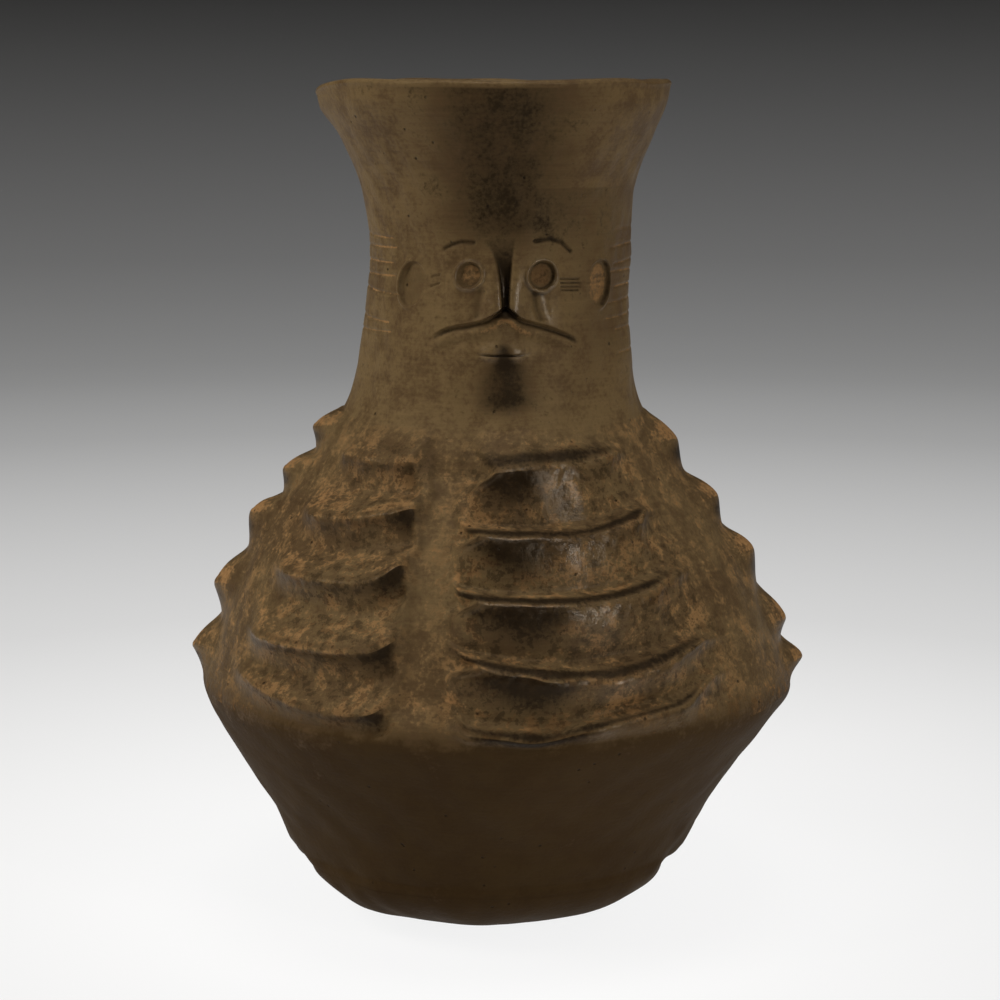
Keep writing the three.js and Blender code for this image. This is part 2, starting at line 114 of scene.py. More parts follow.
def falling(value: Array, stop: float | Array, length: float | Array) -> Array:
    """Return 1 until a length before a stop, easing to 0 there."""
    return ease((stop - value) / length)


def bell(value: Array, centre: float | Array, width: float | Array) -> Array:
    """Return 1 at the centre, falling to about a third one width away."""
    return np.exp(-(((value - centre) / width) ** 2))


def stroke(along: Array, height: Array, path: Path, width: float) -> Array:
    """Draw a line over a field of points.

    Args:
        along: Millimetres round the wall at each point.
        height: Height of each point.
        path: Points the line runs through.
        width: Half width of the line.

    Returns:
        1 on the line, easing to 0 at its half width.
    """
    nearest = np.full(along.shape, np.inf)
    for (ax, az), (bx, bz) in zip(path, path[1:]):
        dx, dz = bx - ax, bz - az
        share = np.clip(((along - ax) * dx + (height - az) * dz) / (dx * dx + dz * dz), 0.0, 1.0)
        nearest = np.minimum(nearest, np.hypot(along - ax - share * dx, height - az - share * dz))
    return ease(1.0 - nearest / width)


def linear(colour: str) -> tuple[float, float, float, float]:
    """Turn an sRGB hex colour into linear RGBA.

    Args:
        colour: The colour, with its leading mark.

    Returns:
        Red, green, blue and a full alpha.
    """
    parts = (int(colour[i:i + 2], 16) / 255.0 for i in (1, 3, 5))
    red, green, blue = (p / 12.92 if p <= 0.04045 else ((p + 0.055) / 1.055) ** 2.4 for p in parts)
    return red, green, blue, 1.0


def add_node(tree: Tree, kind: str, settings: dict, inputs: dict) -> bpy.types.Node:
    """Add a node with its settings and links.

    Args:
        tree: The node tree to add to.
        kind: Blender's type name of the node.
        settings: Properties of the node.
        inputs: A value, or a socket to link from, for each input by name or number.

    Returns:
        The new node.
    """
    node = tree.nodes.new(kind)
    for name, value in settings.items():
        setattr(node, name, value)
    for name, value in inputs.items():
        if isinstance(value, Socket):
            tree.links.new(value, node.inputs[name])
        else:
            node.inputs[name].default_value = value
    return node


def add_math(tree: Tree, operation: str, *values: Socket | float, clamp: bool = False) -> Socket:
    """Add a sum, product or the like and return its value."""
    settings = {"operation": operation, "use_clamp": clamp}
    return add_node(tree, "ShaderNodeMath", settings, dict(enumerate(values))).outputs["Value"]


def add_range(tree: Tree, value: Socket, low: float, high: float, start: float = 0.0, stop: float = 1.0,
              soft: bool = True) -> Socket:
    """Map a value from one range to another.

    Args:
        tree: The node tree.
        value: The value to map.
        low: Value that gives the start.
        high: Value that gives the stop.
        start: What the low end becomes.
        stop: What the high end becomes.
        soft: Whether the ends are eased.

    Returns:
        The mapped value.
    """
    settings = {"interpolation_type": "SMOOTHSTEP" if soft else "LINEAR"}
    limits = {"Value": value, 1: low, 2: high, 3: start, 4: stop}
    return add_node(tree, "ShaderNodeMapRange", settings, limits).outputs["Result"]


def add_blend(tree: Tree, share: Socket, under: Socket | tuple, over: Socket | tuple) -> Socket:
    """Lay one colour over another by a share and return the mixture."""
    return add_node(tree, "ShaderNodeMix", {"data_type": "RGBA"}, {0: share, 6: under, 7: over}).outputs[2]


def per_metre(size: float) -> float:
    """Return the texture scale that gives features of a size in millimetres."""
    return 1.0 / (size * MM)


@dataclass(frozen=True)
class Pair:
    """A size on the left side and on the right."""

    left: float
    right: float

    def at(self, side: Side) -> float:
        """Return the size on one side."""
        return self.left if side is Side.LEFT else self.right


@dataclass(frozen=True)
class FairCurve:
    """A fair curve through stations, flat beyond both ends."""

    stations: Path

    def at(self, place: Array) -> Array:
        """Look the curve up.

        Args:
            place: Where along the stations.

        Returns:
            The curve's value at each place.
        """
        xs, ys = np.array(self.stations, float).T
        order = np.arange(len(xs))
        low, high = np.maximum(order - 1, 0), np.minimum(order + 1, len(xs) - 1)
        slopes = (ys[high] - ys[low]) / (xs[high] - xs[low])
        i = np.clip(np.searchsorted(xs, place, side="right") - 1, 0, len(xs) - 2)
        span = xs[i + 1] - xs[i]
        t = np.clip((place - xs[i]) / span, 0.0, 1.0)
        bend = t * (1.0 - t) ** 2 * span * slopes[i] + t * t * (t - 1.0) * span * slopes[i + 1]
        return ys[i] + (ys[i + 1] - ys[i]) * ease(t) + bend


@dataclass(frozen=True)
class Waves:
    """Seeded waves over the wall, as slow fingers and a scraper leave them."""

    seed: int
    count: int
    lobes: tuple[int, int]
    pitch: tuple[float, float]
    depth: float

    def at(self, theta: Array, height: Array) -> Array:
        """Sum the waves.

        Args:
            theta: Angle of each point.
            height: Height of each point.

        Returns:
            How far the waves stand out at each point.
        """
        rng = np.random.default_rng(self.seed)
        total = np.zeros(np.broadcast(theta, height).shape)
        for _ in range(self.count):
            lobes = int(rng.integers(*self.lobes))
            rate = 2.0 * math.pi / rng.uniform(*self.pitch) * rng.choice((-1, 1))
            total += np.cos(lobes * np.radians(theta) + rate * height + rng.uniform(0.0, 2.0 * math.pi))
        return total * self.depth / math.sqrt(2.0 * self.count)


@dataclass(frozen=True)
class PotForm:
    """The turned form of the pot: its outline, the lean of its axis and the unevenness of handwork."""

    foot_radius: float = 62.0
    foot_rings: tuple[float, float] = (9.0, 2.0)
    base_rim: float = 36.0
    base_rim_radius: float = 112.0
    bowl_law: float = 1.3
    lap_top: float = 45.0
    lap_height: float = 6.8
    belly: float = 141.0
    throat: float = 304.0
    collar: float = 440.0
    lip: float = 500.0
    wall: float = 9.0
    lip_wall: float = 6.0
    lip_round: float = 2.6
    lip_steps: int = 13
    rim_wall: float = 8.0
    rim_wall_below: float = 10.0
    inside_below: float = 4.0
    lower: FairCurve = FairCurve(((36.0, 121.0), (52.0, 129.0), (69.0, 137.0), (141.0, 183.0)))
    upper: FairCurve = FairCurve((
        (141.0, 183.0), (214.0, 151.8), (304.0, 91.0), (345.0, 81.6), (398.0, 77.0),
        (440.0, 82.0), (468.0, 93.5), (486.0, 102.0), (500.0, 105.0)))
    lean: FairCurve = FairCurve((
        (0.0, -4.5), (36.0, -3.0), (100.0, -0.5), (141.0, 3.6), (180.0, 2.0), (230.0, 0.0), (270.0, 0.0),
        (304.0, 1.0), (340.0, 2.7), (370.0, 3.0), (398.0, 4.8), (440.0, 3.4), (470.0, 2.8), (500.0, 0.9)))
    table_step: float = 0.25
    table_margin: float = 8.0
    belly_softness: float = 7.0
    belly_blend: Spot = (42.0, 14.0)
    slow: Waves = Waves(11, 14, (3, 11), (80.0, 220.0), 1.0)
    quick: Waves = Waves(12, 22, (14, 40), (18.0, 60.0), 0.28)
    coils: Waves = Waves(13, 12, (0, 7), (11.0, 19.0), 0.7)
    lip_waves: Waves = Waves(14, 9, (3, 13), (900.0, 1000.0), 0.8)
    lip_swing: Spot = (-34.0, 30.0)
    lip_drop: float = 5.5
    lip_drop_at: Spot = (-92.0, 22.0)

    def radius(self, height: Array) -> Array:
        """Look up the outside radius above the lap, with the belly edge softened.

        Args:
            height: Heights to look up.

        Returns:
            The radius at each height.
        """
        step = self.table_step
        table = np.arange(self.base_rim - self.table_margin, self.lip + self.table_margin, step)
        raw = np.where(table < self.belly, self.lower.at(table), self.upper.at(table))
        reach = np.arange(-4.0 * self.belly_softness, 4.0 * self.belly_softness + step, step)
        kernel = bell(reach, 0.0, self.belly_softness * math.sqrt(2.0))
        padded = np.pad(raw, len(reach) // 2, mode="edge")
        soft = np.convolve(padded, kernel / kernel.sum(), mode="valid")
        near = falling(np.abs(table - self.belly), *self.belly_blend)
        return np.interp(height, table, raw + (soft - raw) * near)

    def inset(self, height: Array, depth: float | Array, slope: Array) -> Array:
        """Return [radius, height] points at a depth inside the outline, whose slope is given."""
        along = np.hypot(1.0, slope)
        return np.stack([self.radius(height) - depth / along, height + depth * slope / along], axis=1)

    def around(self, theta: Array, radius: Array, height: Array, level: Array) -> Array:
        """Return points round the leaning axis, which is looked up at a level."""
        turn = np.radians(theta)
        return np.stack([radius * np.sin(turn) + self.lean.at(level), -radius * np.cos(turn), height], axis=2)

    def bowl(self, rows: int) -> Array:
        """Draw the base bowl from the flat foot up to its rim.

        Args:
            rows: Number of points above the foot.

        Returns:
            The [radius, height] points.
        """
        depth = self.base_rim / math.sqrt(1.0 - (self.foot_radius / self.base_rim_radius) ** 2)
        height = self.base_rim * np.linspace(0.0, 1.0, rows) ** self.bowl_law
        drop = (self.base_rim - height) / depth
        curve = np.stack([self.base_rim_radius * np.sqrt(1.0 - drop * drop), height], axis=1)
        return np.concatenate([[[self.foot_radius - inwards, 0.0] for inwards in self.foot_rings], curve])

    def lap(self) -> Array:
        """Return [radius, height] points of the soft lower edge that laps over the bowl."""
        outside = float(self.radius(np.array([self.lap_top]))[0])
        rim, low = self.base_rim_radius, self.base_rim
        return np.array([
            [rim + 0.4, low + 0.2], [rim + 2.2, low - 0.5], [rim + 4.4, low - 0.6], [rim + 6.6, low + 0.2],
            [rim + 8.6, low + 2.0], [rim + 10.4, low + 4.6], [outside - 1.2, low + self.lap_height]])

    def lip_line(self, rows: int) -> Array:
        """Draw the line over the lip and down the inside of the rim.

        Args:
            rows: Number of points down the inside.

        Returns:
            The [radius, height] points.
        """
        outer = float(self.radius(np.array([self.lip]))[0])
        turn = np.radians(np.linspace(0.0, 180.0, self.lip_steps))
        half, rise = self.lip_wall / 2.0, self.lip_round
        over = np.stack([outer - half + half * np.cos(turn), self.lip - rise + rise * np.sin(turn)], axis=1)
        height = np.linspace(self.lip - self.lip_wall, self.collar, rows)
        depth = np.interp(height, [self.collar, self.lip - self.rim_wall_below, self.lip],
                          [self.wall, self.rim_wall, self.lip_wall])
        inside = self.inset(height, depth, np.gradient(self.radius(height), height))
        return np.concatenate([over, inside[inside[:, 1] < self.lip - self.inside_below]])


@dataclass
class Skin:
    """The pot's skin as a grid: rows run up the wall, columns run round it."""

    form: PotForm
    theta: Array
    radius: Array = field(init=False)
    height: Array = field(init=False)
    share: Array = field(init=False)
    proud: Array = field(init=False)
    hang: Array = field(init=False)
    tint: Array = field(init=False)
    zone: Array = field(init=False)
    bands: dict[str, slice] = field(default_factory=dict)
    soften_step: float = 0.4

    def stack(self, bands: list[Band]) -> None:
        """Stack named bands of rows into one grid.

        Args:
            bands: The bands from the foot up.
        """
        start = 0
        for name, radius, _, _ in bands:
            self.bands[name] = slice(start, start + len(radius))
            start += len(radius)
        self.radius, self.height, self.share = (np.concatenate(rows) for rows in list(zip(*bands))[1:])
        self.proud = np.zeros(self.radius.shape)
        self.hang = np.zeros(self.radius.shape)
        self.tint = np.zeros((*self.radius.shape, len(Tint)))
        self.zone = np.zeros((*self.radius.shape, len(Zone)))

    def paint(self, rows: slice, layer: Tint, amount: Array) -> None:
        """Add to a tint over a band of rows."""
        self.tint[rows][..., layer] += amount

    def mark(self, rows: slice, layer: Zone, amount: Array) -> None:
        """Add to a zone over a band of rows."""
        self.zone[rows][..., layer] += amount

    def line(self, points: Array) -> Rows:
        """Return the rows of a profile that is the same all round."""
        radius, height = (np.repeat(points[:, i:i + 1], len(self.theta), axis=1) for i in (0, 1))
        return radius, height, np.linspace(0.0, 1.0, len(points))

    def level(self, low: float | Array, high: float | Array, rows: int, law: float = 1.0) -> Rows:
        """Lay rows between two lines drawn round the wall.

        Args:
            low: Height of the lower line, at each column or all round.
            high: Height of the upper line, at each column or all round.
            rows: Number of rows, without the one on the upper line.
            law: Above 1 crowds the rows towards the lower line, below -1 towards the upper one.

        Returns:
            Radius, height and share rows.
        """
        even = np.arange(rows) / rows
        share = even ** law if law > 0 else 1.0 - (1.0 - even) ** -law
        start = low * np.ones(len(self.theta))
        height = start + (high - start) * share[:, None]
        return self.form.radius(height), height, share

    def slope(self) -> tuple[Array, Array]:
        """Return the outward direction of the bare profile, as its radial and upright parts."""
        along_r = np.gradient(self.radius, axis=0)
        along_z = np.gradient(self.height, axis=0)
        size = np.maximum(np.hypot(along_r, along_z), 1e-9)
        return along_z / size, -along_r / size

    def points(self, depth: float | None = None) -> Array:
        """Work out the grid's points.

        Args:
            depth: How far below the bare wall they lie. Left out, they lie on the relief.

        Returns:
            The points by row and column.
        """
        form = self.form
        out_r, out_z = self.slope()
        proud = self.proud if depth is None else np.full(self.proud.shape, -depth)
        hang = self.hang if depth is None else 0.0
        swing = rising(self.height - form.lip, *form.lip_swing)
        drop = form.lip_drop * bell(self.theta, *form.lip_drop_at)
        waves = form.lip_waves.at(self.theta, np.zeros(1)) - drop
        height = self.height + proud * out_z - hang + swing * waves
        return form.around(self.theta, self.radius + proud * out_r, height, self.height)

    def soften(self, rows: slice, size: Array) -> None:
        """Round the relief off up the wall.

        Args:
            rows: Rows to round.
            size: Reach of the rounding at each column, in millimetres of height.
        """
        step = self.soften_step
        for col in range(len(self.theta)):
            height = self.height[rows, col]
            even = np.arange(height[0], height[-1] + step, step)
            reach = np.arange(-3.0 * size[col], 3.0 * size[col] + step, step)
            kernel = bell(reach, 0.0, size[col] * math.sqrt(2.0))
            raised = np.pad(np.interp(even, height, self.proud[rows, col]), len(reach) // 2, mode="edge")
            soft = np.convolve(raised, kernel / kernel.sum(), mode="same")[len(reach) // 2:][:len(even)]
            self.proud[rows, col] = np.interp(height, even, soft)

    def sheet(self, depth: float | None = None) -> "Sheet":
        """Return the skin as a sheet of points, normals and tints."""
        return Sheet(self.points(depth), self.tint, self.zone)

    def columns(self, low: float, high: float) -> Array:
        """Return the column numbers that lie between two angles."""
        return np.nonzero((self.theta >= low) & (self.theta <= high))[0]


@dataclass
class Sheet:
    """Points of a grid that closes round the pot, with their normals and tints."""

    points: Array
    tint: Array
    zone: Array
    normals: Array = field(init=False)

    def __post_init__(self) -> None:
        """Work out the normals from neighbouring points."""
        round_way = np.roll(self.points, -1, axis=1) - np.roll(self.points, 1, axis=1)
        up_way = np.gradient(self.points, axis=0)
        normals = np.cross(round_way, up_way)
        self.normals = normals / np.maximum(np.linalg.norm(normals, axis=2, keepdims=True), 1e-12)


def picks(count: int, step: int) -> Array:
    """Return every so many numbers up to a count, with the last one kept."""
    return np.unique(np.append(np.arange(0, count, step), count - 1))


def coarse(rows: Array, cols: Array, steps: tuple[int, int] = (5, 6)) -> tuple[Array, Array]:
    """Return the places of the fewer rows and columns that do for a hidden back."""
    return picks(len(rows), steps[0]), picks(len(cols), steps[1])


class Piece:
    """One closed piece of clay, gathered from blocks of sheets and the strips that join them."""

    def __init__(self, name: str) -> None:
        """Start an empty piece.

        Args:
            name: Its name, which is also that of the CAD node it stands for.
        """
        self.name = name
        self.points: list[Array] = []
        self.normals: list[Array] = []
        self.tints: list[Array] = []
        self.zones: list[Array] = []
        self.faces: list[Array] = []
        self.count = 0

    def lay(self, sheet: Sheet, rows: Array, cols: Array | None = None, flip: bool = False,
            keep: Array | None = None) -> Array:
        """Add a block of a sheet.

        Args:
            sheet: The sheet to take from.
            rows: Its row numbers.
            cols: Its column numbers. Left out, the block runs right round.
            flip: Whether its faces look inwards.
            keep: Which cells of the block to keep, all of them if left out.

        Returns:
            The point numbers of the block.
        """
        closed = cols is None
        cols = np.arange(sheet.points.shape[1]) if closed else cols
        index = self.count + np.arange(len(rows) * len(cols)).reshape(len(rows), len(cols))
        pick = np.ix_(rows, cols)
        sign = -1.0 if flip else 1.0
        for store, values in ((self.points, sheet.points), (self.normals, sheet.normals * sign),
                              (self.tints, sheet.tint), (self.zones, sheet.zone)):
            store.append(values[pick].reshape(-1, values.shape[-1]))
        self.count += index.size
        ring = np.concatenate([index, index[:, :1]], axis=1) if closed else index
        quads = np.stack([ring[:-1, :-1], ring[:-1, 1:], ring[1:, 1:], ring[1:, :-1]], axis=2)
        chosen = quads.reshape(-1, 4) if keep is None else quads[keep]
        self.faces.append(chosen[:, ::-1] if flip else chosen)
        return index

    def stitch(self, fine: Array, coarse_border: Array, at: Array, below: bool) -> None:
        """Join a fine border to a coarser one.

        Args:
            fine: Point numbers of the fine border.
            coarse_border: Point numbers of the coarse border.
            at: Places of the coarse points along the fine border.
            below: Whether the strip hangs from a lower or right border.
        """
        for i, (a, b) in enumerate(zip(at, at[1:])):
            if below:
                face = [*fine[a:b + 1][::-1], coarse_border[i], coarse_border[i + 1]]
            else:
                face = [*fine[a:b + 1], coarse_border[i + 1], coarse_border[i]]
            self.faces.append(np.array([face]))

    def close_ring(self, fine: Array, fewer: Array, step: int, below: bool) -> None:
        """Join two rings, the second with a point for every so many of the fine one."""
        at = np.append(np.arange(0, len(fine), step), len(fine))
        self.stitch(np.append(fine, fine[0]), np.append(fewer, fewer[0]), at, below)

    def skirt(self, block: Array, under: Array, rows: Array, cols: Array, outward: bool) -> None:
        """Join the four borders of a block to the coarser block under it.

        Args:
            block: Point numbers of the block.
            under: Point numbers of the coarser block.
            rows: Places of the coarser rows in the block.
            cols: Places of the coarser columns in the block.
            outward: Whether the strips look outwards, as on a pad, or inwards, as in a pocket.
        """
        self.stitch(block[0], under[0], cols, outward)
        self.stitch(block[-1], under[-1], cols, not outward)
        self.stitch(block[:, 0], under[:, 0], rows, not outward)
        self.stitch(block[:, -1], under[:, -1], rows, outward)

    def cap(self, ring: Array, flip: bool) -> None:
        """Close a ring with one flat face."""
        self.faces.append(np.array([ring[::-1] if flip else ring]))

    def make(self, slot: Slot, material: Material) -> None:
        """Make the Blender object of the piece, riding on the pot in place of its CAD node.

        Args:
            slot: The record's material slot.
            material: The finish.
        """
        loops = np.concatenate([f.ravel() for f in self.faces])
        totals = np.concatenate([np.full(len(f), f.shape[1]) for f in self.faces])
        used, loops = np.unique(loops, return_inverse=True)
        mesh = bpy.data.meshes.new(self.name)
        mesh.vertices.add(len(used))
        places = np.concatenate(self.points)[used] * MM
        mesh.vertices.foreach_set("co", places.astype(np.float32).ravel())
        mesh.loops.add(len(loops))
        mesh.loops.foreach_set("vertex_index", loops.astype(np.int32))
        mesh.polygons.add(len(totals))
        mesh.polygons.foreach_set("loop_start", (np.cumsum(totals) - totals).astype(np.int32))
        mesh.update(calc_edges=True)
        for name, values in (("tint", self.tints), ("zone", self.zones)):
            layer = mesh.attributes.new(name, "FLOAT_COLOR", "POINT")
            painted = np.concatenate(values)[used]
            rgba = np.ones((len(used), 4), np.float32)
            rgba[:, :painted.shape[1]] = painted
            layer.data.foreach_set("color", rgba.ravel())
        mesh.polygons.foreach_set("use_smooth", np.ones(len(totals), bool))
        mesh.normals_split_custom_set_from_vertices(np.concatenate(self.normals)[used].tolist())
        mesh.materials.append(material)
        piece = bpy.data.objects.new(self.name, mesh)
        bpy.context.scene.collection.objects.link(piece)
        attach(piece, "root")
        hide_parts(self.name)
        LOG.info("%s: %d points, %d faces", self.name, len(used), len(totals))


@dataclass(frozen=True)
class Course:
    """One course of relief round the shoulder: its crest's height at angles, and how far it stands out."""

    spurs: Pair
    left_rib: Path
    right_rib: Path
    lips: Pair = Pair(10.0, 11.5)
    inset: float = 0.0


COURSES = (
    Course(Pair(296.0, 286.5),
           ((-58.0, 285.0), (-45.0, 283.0), (-35.0, 282.6), (-28.0, 283.3), (-19.7, 284.8)),
           ((-3.3, 280.0), (13.6, 281.6), (30.0, 283.0), (43.0, 286.6)),
           Pair(8.0, 10.0), 3.0),
    Course(Pair(270.0, 251.5),
           ((-62.0, 258.0), (-58.8, 253.6), (-49.0, 250.5), (-37.5, 252.5), (-25.0, 257.5), (-16.8, 262.1)),
           ((-9.7, 254.0), (-5.8, 249.0), (10.7, 246.3), (19.9, 245.3), (26.8, 246.7), (37.7, 251.6),
            (46.0, 256.5))),
    Course(Pair(243.5, 220.0),
           ((-61.0, 224.4), (-50.0, 220.6), (-34.6, 220.3), (-27.4, 222.0), (-23.4, 226.6), (-19.2, 233.4)),
           ((-9.5, 222.5), (-6.6, 217.5), (7.3, 213.9), (14.4, 213.5), (25.6, 214.5), (34.5, 217.5),
            (46.0, 223.0))),
    Course(Pair(202.5, 178.5),
           ((-60.0, 187.5), (-45.0, 185.0), (-32.7, 186.1), (-24.4, 187.8), (-20.9, 192.2), (-18.6, 197.3)),
           ((-9.5, 190.7), (-5.5, 186.0), (2.2, 181.6), (10.9, 178.0), (20.0, 176.0), (26.6, 178.0),
            (32.6, 181.0), (45.0, 187.0))),
    Course(Pair(164.5, 155.0),
           ((-55.0, 162.0), (-42.8, 156.0), (-33.7, 153.9), (-27.0, 154.5), (-22.4, 157.0), (-18.2, 165.0)),
           ((-7.4, 155.7), (-5.3, 150.4), (2.0, 147.6), (8.6, 146.5), (15.0, 150.0), (22.4, 153.0),
            (30.0, 155.4), (34.4, 157.0), (46.0, 169.4)),
           Pair(6.5, 8.0)),
)


@dataclass(frozen=True)
class ShoulderTints:
    """How strongly soot, dust, painted shade, painted highlights and polish lie on the shoulder, and where.

    A line on a riser is counted down from the crest and one on a ledge up from it, both as shares of the
    band. A place round the wall is an angle.
    """

    # Soot patches on the right, painted shade at the left ribs' inner ends, and the strip that shines
    right_black: Spot = (6.0, 8.5)
    left_end_shade: Spot = (-21.0, 4.0)
    left_end_shade_share: float = 0.8
    sheen: Spot = (21.0, 7.0)
    # Soot, and painted shade
    smoke: float = 0.28
    smoke_gain: float = 1.6
    smoke_end: Spot = (1.3, 1.0)
    black_soot_and_shade: float = 0.68
    # Less soot in the shining strip: a painted highlight
    sheen_highlight: float = -0.25
    # Painted shade just under the lip
    crest_shade: float = 0.25
    crest_line: Spot = (0.2, 0.16)
    # Painted shade under each spur
    spur_shade: Pair = Pair(0.8, 1.05)
    spur_line: Spot = (0.4, 0.3)
    # Painted shade in the crevice above each crest
    crevice_shade: Pair = Pair(0.45, 0.95)
    crevice_line: Pair = Pair(0.14, 0.24)
    crevice_width: Pair = Pair(0.09, 0.22)
    # Painted shade in the hollow under the rib above, more where the patches are dark
    under_shade: float = 0.05
    under_black: float = 0.3
    under_start: Spot = (0.6, 0.3)
    # Painted shade on the breastbone's left bank
    bank_shade: float = 0.3
    bank_shade_at: Spot = (0.8, 2.0)
    # Dust, and a painted highlight on the breastbone's right bank
    riser_dust: float = 0.12
    foot_dust: float = 0.68
    foot_line: Spot = (0.5, 0.4)
    ledge_dust: Pair = Pair(0.6, 0.95)
    ledge_dust_start: Pair = Pair(0.08, 0.33)
    ledge_dust_rise: Pair = Pair(0.1, 0.25)
    ledge_dust_end: Spot = (1.05, 0.5)
    spur_dust: Pair = Pair(0.8, 1.0)
    spur_dust_end: Spot = (0.8, 0.45)
    # Painted highlight on the right bank, in the ochre colour
    bank_highlight: float = 0.45
    bank_highlight_at: Spot = (1.5, 2.0)
    flank_dust: float = 0.1
    front_dust: float = 0.1
    channel_dust: float = 0.22
    # Polish
    polish: Pair = Pair(0.3, 0.55)
    sheen_polish: float = 0.5
    crest_polish: float = 1.2
    polish_fall: float = 0.5
    ledge_polish_end: Spot = (0.1, 0.1)
    spur_polish: float = 0.4
    spur_edge_polish: float = 0.8
    spur_edge_end: Spot = (0.12, 0.12)
    # Streaks and wear
    flank: Spot = (44.0, 12.0)
    channel: Spot = (-14.5, 5.0)
    channel_streaks: float = 0.8
    channel_clear: float = 0.85
    flank_wear: float = 0.4
    front_foot: Spot = (142.0, 18.0)
    front_top: Spot = (312.0, 30.0)


@dataclass
class Shoulder:
    """The shoulder wall with its applied ribs and pinched spurs."""

    skin: Skin
    # How far each column is on the right, dark (soot on the right, painted shade on the left) and shining
    right: Array = field(init=False)
    black: Array = field(init=False)
    sheen: Array = field(init=False)
    courses: tuple[Course, ...] = COURSES
    tints: ShoulderTints = ShoulderTints()
    # Change from left to right at the breastbone, and back again behind
    turn_right: Spot = (-19.0, 10.0)
    turn_left: Spot = (170.0, 10.0)
    # Ribs
    inner: Pair = Pair(-18.5, -9.5)
    outer: Pair = Pair(-62.0, 47.5)
    full_lip: float = 10.0
    blunt_end: Pair = Pair(2.4, 4.5)
    left_curl: Spot = (0.45, 0.12)
    lip_taper: float = 0.3
    hollow: float = 2.4
    hollow_end: Pair = Pair(3.4, 0.6)
    hollow_end_share: float = 0.14
    hollow_taper: float = 0.5
    full_hollow: float = 2.0
    hang: float = 2.2
    hang_power: float = 3.0
    hang_limit: float = 1.2
    # Risers and ledges, with the angle by which the right ribs' inner ends lie back at shares of the band
    belly_rows: int = 8
    riser: Pair = Pair(14.0, 26.0)
    riser_share: float = 0.72
    riser_rows: int = 16
    riser_law: float = -1.3
    riser_power: Pair = Pair(2.0, 0.65)
    riser_lag: Path = ((0.0, 6.5), (0.2, 3.0), (0.5, 0.4), (1.0, 0.0))
    ledge_rows: int = 20
    ledge_law: float = 1.5
    ledge_power: Pair = Pair(1.2, 1.4)
    ledge_lag: Path = ((0.0, 6.5), (0.25, 2.5), (0.6, 0.3), (1.0, 0.0))
    # Spurs
    spur_angle: float = 86.0
    spur_ends: tuple[float, float] = (70.0, 106.0)
    spur_end_rise: float = 4.0
    spur_reach: float = 28.0
    spur_proud: Pair = Pair(13.5, 10.5)
    spur_lift: float = 0.49
    spur_soft: float = 0.35
    spur_blunt: float = 1.05
    spur_from: Spot = (62.0, 12.0)
    spur_to: Spot = (112.0, 12.0)
    spur_riser: float = 22.0
    spur_share: float = 0.55
    last_spur_share: float = 0.9
    spur_riser_power: float = 1.15
    spur_ledge_power: float = 1.35
    spur_hollow: float = 0.08
    spur_hollow_at: Spot = (0.7, 0.3)
    # Rounding and unevenness
    rib_round: float = 1.5
    spur_round: float = 1.8
    spur_round_from: Spot = (58.0, 10.0)
    lumps: Waves = Waves(21, 16, (9, 34), (40.0, 90.0), 0.2)
    drags: Waves = Waves(22, 18, (2, 9), (3.0, 7.0), 0.3)
    ragged: Waves = Waves(23, 8, (0, 1), (9.0, 44.0), 1.3)
    right_ragged: float = 0.6
    crumbs: Waves = Waves(24, 26, (40, 150), (5.0, 14.0), 0.5)
    crumbs_end: Spot = (0.5, 0.4)
    # Breastbone
    breastbone: float = 3.2
    left_bank: Spot = (-1.5, 3.0)
    right_bank: Spot = (2.0, 4.0)
    breastbone_foot: Spot = (150.0, 16.0)
    breastbone_top: Spot = (292.0, 14.0)
    # Pads
    pocket: float = 7.0
    pad_thickness: float = 6.9
    rib_margin: float = 0.5
    spur_margin: float = 1.0
    spur_wall: float = 150.0

    def __post_init__(self) -> None:
        """Work out what changes round the wall."""
        theta, tints = self.skin.theta, self.tints
        self.right = self.by_side(Pair(0.0, 1.0))
        self.black = self.right * bell(theta, *tints.right_black)
        # Painted shade in the hollows at the left ribs' inner ends
        self.black = self.black + tints.left_end_shade_share * bell(theta, *tints.left_end_shade)
        self.sheen = bell(theta, *tints.sheen)

    def by_side(self, sizes: Pair) -> Array:
        """Return a size that changes across the breastbone, at each column."""
        right = rising(self.skin.theta, *self.turn_right) * falling(self.skin.theta, *self.turn_left)
        return sizes.left + (sizes.right - sizes.left) * right

    def crest(self, row: int) -> Array:
        """Draw the crest of a course.

        Args:
            row: Number of the course.

        Returns:
            The crest's height at each column.
        """
        course, rise = self.courses[row], self.spur_end_rise
        left, right = (course.spurs.at(side) - self.spur_proud.at(side) * self.spur_lift + self.hang
                       for side in Side)
        (near, far), middle, back = self.spur_ends, self.spur_angle, (left + right) / 2.0
        return FairCurve((
            (-180.0, back), (-far, left + rise), (-middle, left), (-near, left + rise), *course.left_rib,
            *course.right_rib, (near, right + rise), (middle, right), (far, right + rise), (180.0, back),
        )).at(self.skin.theta)

    def foot(self, row: int) -> Array:
        """Draw the foot of a course's riser.

        Args:
            row: Number of the course.

        Returns:
            The foot's height at each column.
        """
        crest, away = self.crest(row), np.abs(self.skin.theta)
        near_spur = rising(away, *self.spur_from) * falling(away, *self.spur_to)
        fall = self.by_side(self.riser)
        fall = fall + (self.spur_riser - fall) * near_spur
        last = row + 1 == len(self.courses)
        below = self.skin.form.belly if last else self.crest(row + 1)
        spur_share = self.last_spur_share if last else self.spur_share
        share = self.riser_share + (spur_share - self.riser_share) * near_spur
        return crest - np.minimum(fall, share * (crest - below))

